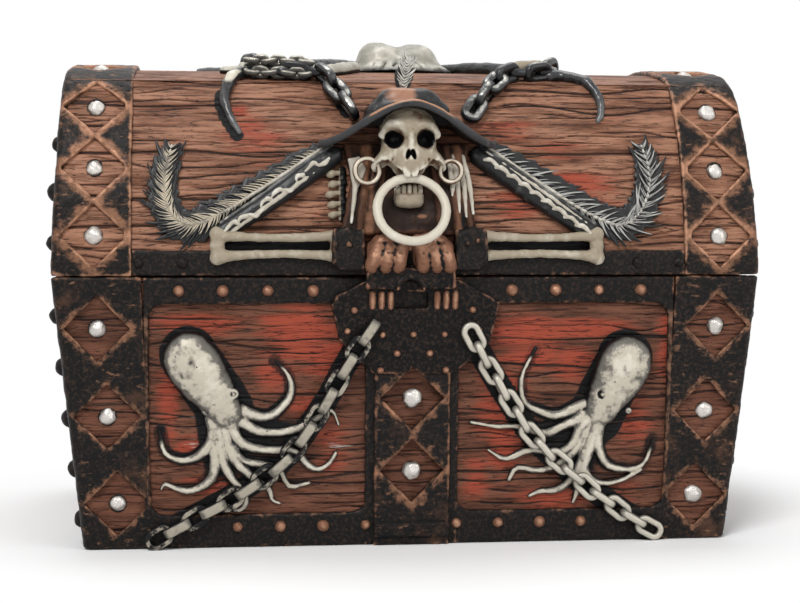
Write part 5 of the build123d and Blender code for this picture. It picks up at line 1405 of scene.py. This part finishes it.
hat = Clay((-20.1, -57.6, 81.6), (19.9, -34.5, 99.4), 0.28, 1, figure_x)
x, y, z = hat.grid()
span = x - figure_x
slope = brim_drop * np.pi / (2 * brim_half) * np.sin(np.pi * np.clip(span / brim_half, -1, 1))
sheet = (np.abs(z - brim_height(span) - 0.75) - 0.62) / np.sqrt(1 + slope**2)
span = np.abs(span)
rim = np.maximum(-56.2 + 9.6 * (span / 18.6) ** 2.2 - y, span - 18.5)
hat.field = smooth_max(sheet, np.maximum(rim, y + 36), 0.6).astype(np.float32)
hat.rod([(s, brim_front(s), brim_height(s) + 0.75, 0.74) for s in np.linspace(-18.2, 18.2, 25)], 0.5)
for half, height, rise in ((8.6, 91.0, 2.4), (6.6, 93.2, 2.2), (4.6, 94.6, 1.7)):
    hat.add(slab((0, -43.6, height), (half, 6.9, rise), 1.6), 1.8)
hat.add(blob((-3.0, -45.5, 95.0), (2.6, 4.4, 1.3)), 0.9)
hat.add(blob((3.6, -45.5, 94.8), (2.4, 4.4, 1.3)), 0.9)
hat.rod([(s * 8.4, -50.9 + 1.6 * abs(s), 90.9 - 1.6 * s * s, 0.55) for s in np.linspace(-1, 1, 9)], 0.4)
keep_outside(hat)


def hat_edge(x, y, z):
    span = x - figure_x
    up = z - brim_height(span)
    return (1 - ramp(y - brim_front(span), -0.3, 0.3)) * ramp(up, 0.75, 1.25) * (1 - ramp(np.abs(span), 7, 12))


def hat_tips(x, y, z):
    span = x - figure_x
    return (1 - ramp(y - brim_front(span), 0.0, 0.6)) * ramp(np.abs(span), 11, 17) * 0.62


carve(hat, "hat", hat_paint, "slate_paint", None, ((0.12, 3.0), (0.06, 0.9)), 0.8, {
    "edge": hat_edge, "tips": hat_tips,
    "warm": lambda x, y, z: bell(x, -2.6, 4.6) * ramp(z, 91.4, 94.6) * 0.85,
})

# Coat, lapel, lace and rib ends
coat = Clay((-16.6, -0.8, 64.4), (14.8, 4.6, 85.0), 0.25)
coat_outline = [(-14.3, 84.0), (12.5, 84.0), (10.9, 77.3), (13.7, 65.4), (-15.5, 65.4), (-12.7, 77.3)]
coat.add(plate(coat_outline, -0.5, 3.0, 0.8))
for x_top, x_foot in ((-9, -11.5), (-5.8, -7.4), (4.2, 5.6), (7.4, 9.4), (9.8, 12.0)):
    coat.rod([(x_top, 2.9, 83, 0.7), (x_foot, 3.0, 66.2, 0.75)], 0.6)
coat.cut(bar([(-8.6, 3.6, 80, 0.5), (-9.8, 3.6, 66.8, 0.6)]), 0.5)
coat.cut(bar([(6.0, 3.6, 80, 0.5), (7.4, 3.6, 66.8, 0.6)]), 0.5)
coat.cut(blob((figure_x, 4.4, 72.4), (6.4, 2.2, 6.6)), 0.6)
carve(coat, "coat", coat_paint, "slate_paint", on_lid_front, ((0.14, 1.8), (0.07, 0.6)), 0.8, {
    "warm": lambda x, y, z: bell(x, -9.4, 2.4) * 0.75 + bell(x, 9.6, 2.4) * 0.7
    + bell(x, 1.8, 1.6) * bell(z, 69.2, 0.7) * 0.9,
    "dark": lambda x, y, z: np.exp(-(((x - figure_x) / 6.2) ** 4) - ((z - 73.5) / 6.5) ** 4) * 0.5,
})

lapel = Clay((-15.4, 1.6, 66.4), (-8.6, 5.4, 82.0), 0.2)
lapel.add(plate(rows_of(2, -13.6, 80.4, -11.2, 80.9, -9.8, 78.6, -10.6, 76.4, -11.6, 74.6, -12.9, 67.4,
                        -13.4, 67.6, -12.7, 75.0), 2.6, 4.2, 0.6))
carve(lapel, "lapel", lace_paint, "bone_paint", on_lid_front, ((0.1, 1.2),), 0.5)

lace = Clay((6.6, 1.4, 66.6), (15.4, 5.4, 83.0), 0.18)
for top, foot, end_z in ((8.7, 9.6, 69.8), (9.7, 11.1, 69.0), (10.8, 12.5, 69.6), (7.7, 8.3, 73.2)):
    bend = ((top + foot) / 2 + 0.3, 3.5, 75.4, 0.55)
    lace.rod([(top, 2.9, 81.2, 0.5), bend, (foot, 3.4, end_z, 0.28)], 0.12, count=12)
carve(lace, "lace", lace_paint, "bone_paint", on_lid_front, ((0.08, 0.8),), 0.4)

ribs = Clay((-19.4, -0.8, 68.0), (-12.4, 3.6, 80.2), 0.18)
rib_rows = rows_of(4, 3.0, 1.0, 0.3, 0.55, 1.4, 1.3, 0.1, 0.5, 0.5, 1.4, -0.1, 0.78, 0, 1.2, -0.2, 0.62)
for rib in range(5):
    x, z = -17.4 + 0.3 * math.sin(rib * 2.2), 78.2 - rib * 2.1
    ribs.rod(rib_rows + (x, 0, z, 0), 0.15, count=10)
ribs.rod([(-14.6, 0.3, 79.2, 0.9), (-14.9, 0.3, 69.2, 0.9)], 0.3)
carve(ribs, "rib_ends", bone_paint, "bone_paint", on_lid_front, ((0.06, 0.9),), 0.4, {
    "dark": lambda x, y, z: np.maximum(ramp(x, -15.6, -14.6), 1 - ramp(y, 0.5, 1.1)),
})

# Sleeves, forearm bones, cuffs, hands and hasp
sleeve_rows = rows_of(4, 15.4, 1.2, 82.0, 2.0, 22, 1.3, 77.4, 2.2, 31, 1.3, 71.2, 2.1, 38.8, 1.3, 66.2, 1.8)
seam_rows = rows_of(4, 16, 2.6, 83.4, 0.5, 23, 2.9, 78.6, 0.55, 31, 2.9, 73.0, 0.5, 39, 2.6, 67.8, 0.5)
trim_rows = rows_of(4, 17, 2.7, 80.0, 0.42, 24, 2.95, 75.0, 0.5, 31, 2.95, 70.2, 0.5, 37.6, 2.6, 65.6, 0.42)
cuff_outline = [(9.2, 58.2), (9.6, 66.0), (13.0, 67.0), (16.2, 66.2), (16.4, 60.0), (14.8, 58.2)]
for side, word in sides:
    sleeve = Clay((13.5, -0.8, 61.5), (42, 6.0, 85.2), 0.22, side, figure_x)
    trim = Clay((13.5, 2.2, 61.5), (42, 6.0, 85.2), 0.2, side, figure_x)
    sleeve.rod(sleeve_rows, count=12)
    sleeve.rod(seam_rows, 0.2, count=12)
    for curl in range(9):
        if side < 0:
            way = 1 if curl % 3 else -1
            wave = 0.5 * math.sin(curl * 2.4)
            rows = rows_of(4, -1.3 - wave, 3.0, 0.4, 0.24, -0.3, 3.3, (0.7 + wave) * way, 0.42,
                           0.8, 3.25, 0.5 * way - 0.6, 0.34, 1.6 + wave, 3.0, -1.1, 0.2)
        else:
            rows = rows_of(4, -1.5, 2.9, 0.3, 0.3, 0, 3.35, 0, 0.42, 1.6, 3.0, -1.5, 0.3)
        share = (curl + 0.5) / 9
        rows += (16.6 + 21.4 * share, 0, 81.1 - 14.9 * share, 0)
        sleeve.rod(rows, 0.12, count=12)
        trim.rod(rows * (1, 1, 1, 1.1) + (0, 0.22, 0, 0), 0.1, count=12)
    carve(sleeve, f"upper_arm_{word}", sleeve_paint, "black_paint", on_lid_front, ((0.06, 1.0),), 0.45)
    trim.rod(trim_rows + (0, 0, 2.2 * (side > 0), 0), 0.2, count=12)
    made = trim.fire(f"upper_arm_{word}_trim", lace_paint, on_lid_front, ((0.1, 0.9),), 0.4)
    place(made, "lid", "bone_paint")

    bones = Clay((13.2, -0.6, 58.6), (43.2, 5.4, 68.2), 0.2, side, figure_x)
    for z, lean in ((65.1, 0.25), (61.4, -0.25)):
        bones.rod([
            (15.2, 2.2, z, 1.35), (16.6, 2.4, z + lean * 0.5, 1.15), (18.6, 2.4, z, 0.95), (27, 2.3, z - lean, 0.8),
            (35, 2.3, z, 0.9), (38.4, 2.4, z + lean, 1.25), (40.0, 2.2, z + lean * 2, 1.5),
        ], 0.4, count=22)
    bones.add(blob((39.9, 2.2, 63.3), (1.5, 1.3, 1.9)), 0.8)
    bones.add(blob((15.4, 2.0, 63.3), (1.2, 1.2, 1.7)), 0.8)
    carve(bones, f"forearm_{word}", bone_paint, "bone_paint", on_lid_front, ((0.08, 1.8), (0.05, 0.6)), 0.6,
          {"dark": lambda x, y, z: 1 - ramp(y, 1.4, 2.4)})

    cuff = Clay((8.2, -0.4, 57.0), (17.4, 6.6, 68.0), 0.22, side, figure_x)
    cuff.add(plate(cuff_outline, 0, 4.4, 0.9))
    cuff.rod([(15.5, 3.9, 66.0, 0.55), (15.7, 4.3, 63.2, 0.6), (15.6, 3.9, 60.0, 0.55)], 0.4)
    cuff.rod([(10.0, 3.9, 66.0, 0.45), (9.9, 4.2, 59.0, 0.45)], 0.4)
    for dx, dz in ((12.0, 63.6), (14.2, 64.0)) if side > 0 else ((12.8, 63.4),):
        cuff.add(blob((dx, 4.3, dz), (0.75, 0.7, 0.75)), 0.15)
    carve(cuff, f"cuff_{word}", band_paint, "slate_paint", on_lid_front, ((0.12, 1.6), (0.06, 0.7)), 0.7)

    hand = Clay((-0.2, -57.6, 56.8), (10.6, -44, 66.2), 0.2, side, figure_x)
    for finger in range(3):
        x0 = 2.0 + finger * 2.35
        foot = x0 * 1.18 + 0.2
        hand.rod([
            (x0 * 0.94 + 0.3, -50.4, 64.6, 1.2), (x0, -53.0, 64.0, 1.4), ((x0 + foot) / 2, -54.4, 61.6, 1.5),
            (foot, -54.0, 59.4, 1.45), (foot, -52.6, 58.8, 1.2),
        ], 0.7, count=14)
        hand.add(blob((x0, -54.3, 63.2), (1.25, 1.0, 1.0)), 0.7)
        hand.cut(bar([(x0 - 0.9, -55.9, 62.2, 0.2), (x0 + 0.9, -55.9, 62.0, 0.2)]), 0.3)
    hand.add(slab((4.9, -50.2, 61.6), (4.2, 3.6, 2.8), 1.4), 0.9)
    hand.rod([(1.4, -53.0, 64.9, 1.0), (3.6, -54.0, 65.2, 1.1), (6.0, -53.6, 64.8, 1.0)], 0.7, count=8)
    keep_outside(hand)
    carve(hand, f"hand_{word}", copper_paint, "copper_paint", None, ((0.14, 1.3), (0.07, 0.5)), 0.7)

hasp = Clay((-11.1, -55.4, 53.4), (10.9, -44, 60.8), 0.2, 1, figure_x)
hasp.add(slab((0, -52.95, 56.7), (9.3, 1.0, 2.2), 0.5))
hasp.add(slab((0, -49.5, 58.4), (9.0, 2.6, 1.0), 0.3), 0.3)
notch_z = 54.4
for hasp.side in (-1, 1):
    hasp.rod([(8.8, -53.8, 58.2, 0.45), (9.0, -53.9, 55.2, 0.5)], 0.3)
    hasp.rod([(2.75 * math.cos(turn), -53.9, notch_z + 2.75 * math.sin(turn), 0.3)
              for turn in np.radians(np.linspace(2, 90, 8))], 0.2)
    hasp.cut(bar([(5.6, -54.2, 58.2, 0.4), (5.9, -54.2, 55, 0.35)]), 0.3)
hasp.cut(((-4.1, -60, 50), (4.9, -44, 58), lambda x, y, z: np.hypot(x, z - notch_z) - 2.1), 0.15)
keep_outside(hasp)
carve(hasp, "hasp", plate_paint, "slate_paint", None, ((0.1, 1.4), (0.06, 0.6)))


# Feathers: a dark vane with barbs along the shaft
def feather(name, shaft, wrap, widths, rises, count, layers, seed, shaft_radius=0.55):
    """Vane, shaft and barbs along (x, z) points; widths are (left, right) half-widths along the shaft."""
    fine = smooth_path(shaft, 80)
    along = np.gradient(fine, axis=0)
    along /= np.linalg.norm(along, axis=1, keepdims=True)
    left_way = np.stack([-along[:, 1], along[:, 0]], -1)
    position = np.linspace(0, 1, 80)
    half = [np.interp(position, np.linspace(0, 1, len(widths)), column) for column in np.array(widths).T]
    jag = 1 - 0.1 * (np.arange(80) % 4)
    left, right = (fine + sign * left_way * (share * jag)[:, None] for sign, share in zip((1, -1), half))
    outline = np.vstack([left, right[::-1]])
    low, high = outline.min(0) - 1.5, outline.max(0) + 1.5
    foot, vane_rise = rises
    clay = Clay((low[0], foot - 0.6, low[1]), (high[0], vane_rise + 2.0, high[1]), 0.24)
    clay.add(plate(outline[::2], foot, vane_rise, 0.3))
    thread = list(zip(*fine[::6].T, position[::6]))
    clay.rod([(x, vane_rise + 0.25, z, shaft_radius * (1 - 0.5 * s)) for x, z, s in thread], 0.2)
    place(clay.fire(f"{name}_vane", feather_black, wrap, ((0.08, 1.2),), 0.5), "lid", "black_paint", name)
    for layer, (paint_used, reach_share, wide, lift, more) in enumerate(layers):
        spots, turns, sizes, outs = [], [], [], []
        rows = int(count * more)
        draws = np.random.default_rng(seed + layer).uniform(-1, 1, (rows, 2, 2))
        for number, step in enumerate(np.linspace(2, 77, rows)):
            index = int(step)
            for which, sign in ((0, 1), (1, -1)):
                length = half[which][index] * reach_share * (1 + 0.16 * draws[number, which, 0])
                if length < 0.6:
                    continue
                angle = math.radians(40 + 9 * draws[number, which, 1])
                heading = along[index] * math.cos(angle) + sign * left_way[index] * math.sin(angle)
                (x, z), height = fine[index], vane_rise + lift
                start, ahead, over = wrap(np.array([
                    [x, height, z], [x + heading[0], height, z + heading[1]], [x, height + 1, z]]))
                out = (over - start) / np.linalg.norm(over - start)
                spots.append(start)
                turns.append(angles_of(ahead - start, out * sign))
                reach = length / math.sin(angle) * np.linalg.norm(ahead - start)
                sizes.append((reach * MM, wide * MM, 0.8 * MM))
                outs.append(out)
        set_tree(f"{name}_barbs_{layer}", spots, {"turn": turns, "size": sizes, "out": outs}, barbs_tree,
                 {"Sway": 0.4, "Unevenness": 0.3, "Seed": seed + layer, "Paint": paint_used}, "lid",
                 "black_paint" if paint_used == feather_black else "bone_paint")
    rachis = Clay((low[0], vane_rise - 0.6, low[1]), (high[0], vane_rise + 2.4, high[1]), 0.2)
    rachis.rod([(x, vane_rise + 0.45, z, shaft_radius * 0.9 * (1 - 0.6 * s)) for x, z, s in thread])
    place(rachis.fire(f"{name}_shaft", lace_paint, wrap, ((0.05, 0.8),), 0.4), "lid", "bone_paint")


def standing(points):
    """Points in front of the lid's shoulder, upright behind the hat."""
    x, rise, z = points.T
    return np.stack([x, -42.6 - rise, z], -1)


dark_barbs = (feather_black, 1.04, 1.8, -0.2, 0.8)
feather("plume_left", rows_of(2, -18.4, 83.4, -24.5, 79.4, -30.5, 75.6, -36.5, 71.9, -41.8, 68.9, -46.4, 67.4,
                              -50.2, 69.6, -51.7, 74.4, -51.4, 79.4, -50.0, 84.4), on_lid_front,
        rows_of(2, 0.4, 2.6, 0.4, 3.6, 0.5, 4.2, 1.4, 4.4, 3.4, 4.4, 4.0, 4.0, 3.9, 3.7, 3.5, 3.5, 3.2, 3.2,
                1.4, 1.4), (-0.3, 1.2), 84,
        (dark_barbs, (feather_black, 0.8, 1.2, 0.25, 0.7), (gold_barbs, 0.58, 0.7, 0.55, 0.9)), 4)
feather("plume_right", rows_of(2, 16.6, 83.6, 22.4, 79.6, 28.4, 75.6, 34.0, 72.0, 39.6, 68.9, 44.8, 67.5,
                               48.6, 70.0, 50.9, 74.6, 51.3, 79.6, 49.9, 85.0), on_lid_front,
        rows_of(2, 2.8, 0.4, 3.8, 0.4, 4.2, 0.5, 4.2, 1.2, 4.2, 3.0, 3.9, 3.8, 3.8, 3.8, 3.5, 3.6, 3.3, 3.3,
                1.4, 1.4), (-0.3, 1.2), 66,
        (dark_barbs, (silver_barbs, 0.95, 1.15, 0.3, 0.42), (silver_barbs, 0.5, 0.6, 0.6, 0.6)), 6)
feather("hat_plume", rows_of(2, -1.0, 95.2, -1.3, 98.2, -0.8, 101.0, -0.3, 103.6), standing,
        rows_of(2, 0.7, 0.7, 1.8, 1.9, 2.3, 2.4, 1.6, 1.8, 0.5, 0.5), (-0.6, 0.5), 18,
        ((white_barbs, 1.0, 0.8, 0.3, 0.9), (white_barbs, 0.6, 0.7, 0.6, 0.8)), 9, 0.4)

# Kraken: a head with two brows, and arms over the lid's front edge
head = Clay((-15.4, -16.2, 103.4), (15.4, 15.6, 113.2), 0.32, 1, 1.8)
for centre, radii, soft in (
    ((0, 0, 102.2), (13.9, 14.6, 5.2), 0), ((0, 0, 105.6), (8.6, 8.6, 4.6), 2.5),
    ((-4.9, -1.0, 107.2), (4.5, 7.2, 4.0), 2.2), ((4.5, -0.6, 107.0), (4.7, 7.2, 4.0), 2.2),
):
    head.add(blob(centre, radii), soft)
for head.side in (-1, 1):
    for fold in range(3):
        x = 1.0 + fold * 2.6
        head.cut(bar([(x + 1.6, -13.6, 103.2, 0.25), (x, -9.5, 106.4 - fold * 0.6, 0.25)]), 0.5)
carve(head, "kraken_head", kraken_paint, "silver_paint", None, ((0.4, 4.5), (0.2, 1.8), (0.08, 0.7)), 1.0,
      {"low": lambda x, y, z: (1 - ramp(z, 103.4, 107.0)) * 0.8}, facing_to=(0, -0.4, 1))

kraken_arms = (
    ("front_left", (1.9, 0.6, 0.0, 3.2), ((-8, 34), (-15, 24), (-24, 13), (-31.4, 4.5)),
     ((-35.6, 102.6), (-38.6, 98.6), (-39.9, 94.4), (-38.7, 90.6), (-36.6, 87.2))),
    ("front_right", (1.7, 0.55, -7.0, 4.5), ((9, 40), (17, 30), (25, 17), (31.6, 6.6)),
     ((36.6, 102.8), (40.2, 99.6), (43.0, 95.8), (43.2, 92.2), (42.2, 90.2))),
    ("back_left", (1.8, 0.6, 30, 5), ((-9, 44), (-20, 50), (-32, 45), (-41, 37), (-46, 28)), ()),
    ("side_left", (1.6, 1.1, 10, 3), ((-10, 20), (-16, 10), (-24, 7.5), (-33, 10), (-40, 12)), ()),
)
for word, (thick, thin, pale_from, pale_reach), path, front_path in kraken_arms:
    fine = smooth_path(over_edge(path, front_path), 34)
    low, high = fine.min(0) - 4, fine.max(0) + 4
    clay = Clay((low[0], -0.8, low[1]), (high[0], 5.2, high[1]), 0.3)
    radii = thick + (thin - thick) * np.linspace(0, 1, 34) ** 2.0
    clay.rod([(x, r * 0.8, along, r) for (x, along), r in zip(fine, radii)])
    if word == "side_left":
        for x, along in fine[4:-4:2]:
            clay.add(blob((x, 2.3, along), (0.8, 0.7, 0.8)), 0.25)
    made = clay.fire(f"kraken_arm_{word}", kraken_paint if word == "side_left" else kraken_black, over_top,
                     ((0.12, 2.4), (0.06, 0.8)), 0.8,
                     # light: pale paint on the arm's top near the lid's edge, partly a painted highlight
                     {"light": lambda x, y, z: bell(z, pale_from, pale_reach) * ramp(y, 1.3, 2.4),
                      "low": lambda x, y, z: 1 - ramp(y, 0.6, 2.0)})
    place(made, "lid", "black_paint", *(("kraken_arms",) if word == "front_left" else ()))

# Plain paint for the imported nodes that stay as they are
node_paints = {"base_shell": inside_paint, "lid_shell": inside_paint, "hinge": hinge_paint, "hand": copper_paint}
for name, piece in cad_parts.items():
    piece.data.materials.clear()
    match = next((key for key in node_paints if name.startswith(key)), None)
    piece.data.materials.append(node_paints.get(match, plate_paint))


# Camera, floor and light
def staged(name, data, spot=(0, 0, 0), turn=(0, 0, 0)):
    made = bpy.data.objects.new(name, data)
    made.location, made.rotation_euler = spot, turn
    bpy.context.scene.collection.objects.link(made)
    return made


focal_px, frame_px, sensor = 1682.3, 800, 36.0
yaw, pitch = 0.10933, -0.03685
camera = bpy.data.cameras.new("camera")
camera.sensor_width = sensor
camera.lens = focal_px / frame_px * sensor
eye = (-0.04123, -0.400, 0.06479)
bpy.context.scene.camera = staged("camera", camera, eye, (math.pi / 2 + pitch, 0, -yaw))


def seen_rays(add):
    """1 for rays from the camera, from reflections and through glass, 0 for the rest."""
    rays = [add("LightPath", output=name) for name in ("Is Camera Ray", "Is Glossy Ray", "Is Transmission Ray")]
    return calc(add, "MAXIMUM", calc(add, "MAXIMUM", *rays[:2]), rays[2])


world = bpy.data.worlds.new("studio")
bpy.context.scene.world = world
world.use_nodes = True
add = adder(world.node_tree)
level = add("MapRange", {"Value": seen_rays(add), "To Min": 0.36, "To Max": 1.0})
fill(world.node_tree, world.node_tree.nodes["Background"], {"Strength": level, "Color": (1, 1, 1, 1)})

# White floor that keeps the shadow near the object and is plain white further out
extent = 4000
clear_from, clear_to = 0.08, 0.135
white = bpy.data.materials.new("floor white")
white.use_nodes = True
tree = white.node_tree
add = adder(tree)
shader = tree.nodes["Principled BSDF"]
fill(tree, shader, {"Base Color": (0.95, 0.95, 0.95, 1), "Roughness": 0.8, "Specular IOR Level": 0.1})
glow = add("Emission", {"Color": (1, 1, 1, 1), "Strength": 1.0})
reach = add("VectorMath", {0: add("TexCoord", output="Object")}, "Value", operation="LENGTH")
away = add("MapRange", {"Value": reach, "From Min": clear_from, "From Max": clear_to},
           interpolation_type="SMOOTHSTEP")
mixed = add("MixShader", {0: calc(add, "MULTIPLY", away, seen_rays(add)), 1: shader.outputs[0], 2: glow})
fill(tree, tree.nodes["Material Output"], {"Surface": mixed})
corners = [(x * extent, y * extent, -0.2) for x, y in ((-1, -1), (1, -1), (1, 1), (-1, 1))]
mesh_object("floor", corners, [(0, 1, 2, 3)], white)

middle = np.array((0, 0, 0.05))
for name, spot, size, power in (
    ("key", (-0.3, -0.7, 0.8), 0.35, 7.0),
    ("fill", (0.7, -0.6, 0.35), 0.6, 2.4),
    ("top", (0.0, 0.25, 0.9), 0.5, 3.0),
):
    lamp = bpy.data.lights.new(name, "AREA")
    lamp.energy, lamp.size = power, size
    x, y, z = middle - spot
    quarter = math.pi / 2
    staged(name, lamp, spot, (quarter + math.atan2(z, math.hypot(x, y)), 0, math.atan2(y, x) - quarter))
bpy.context.scene.view_settings.view_transform = "Standard"
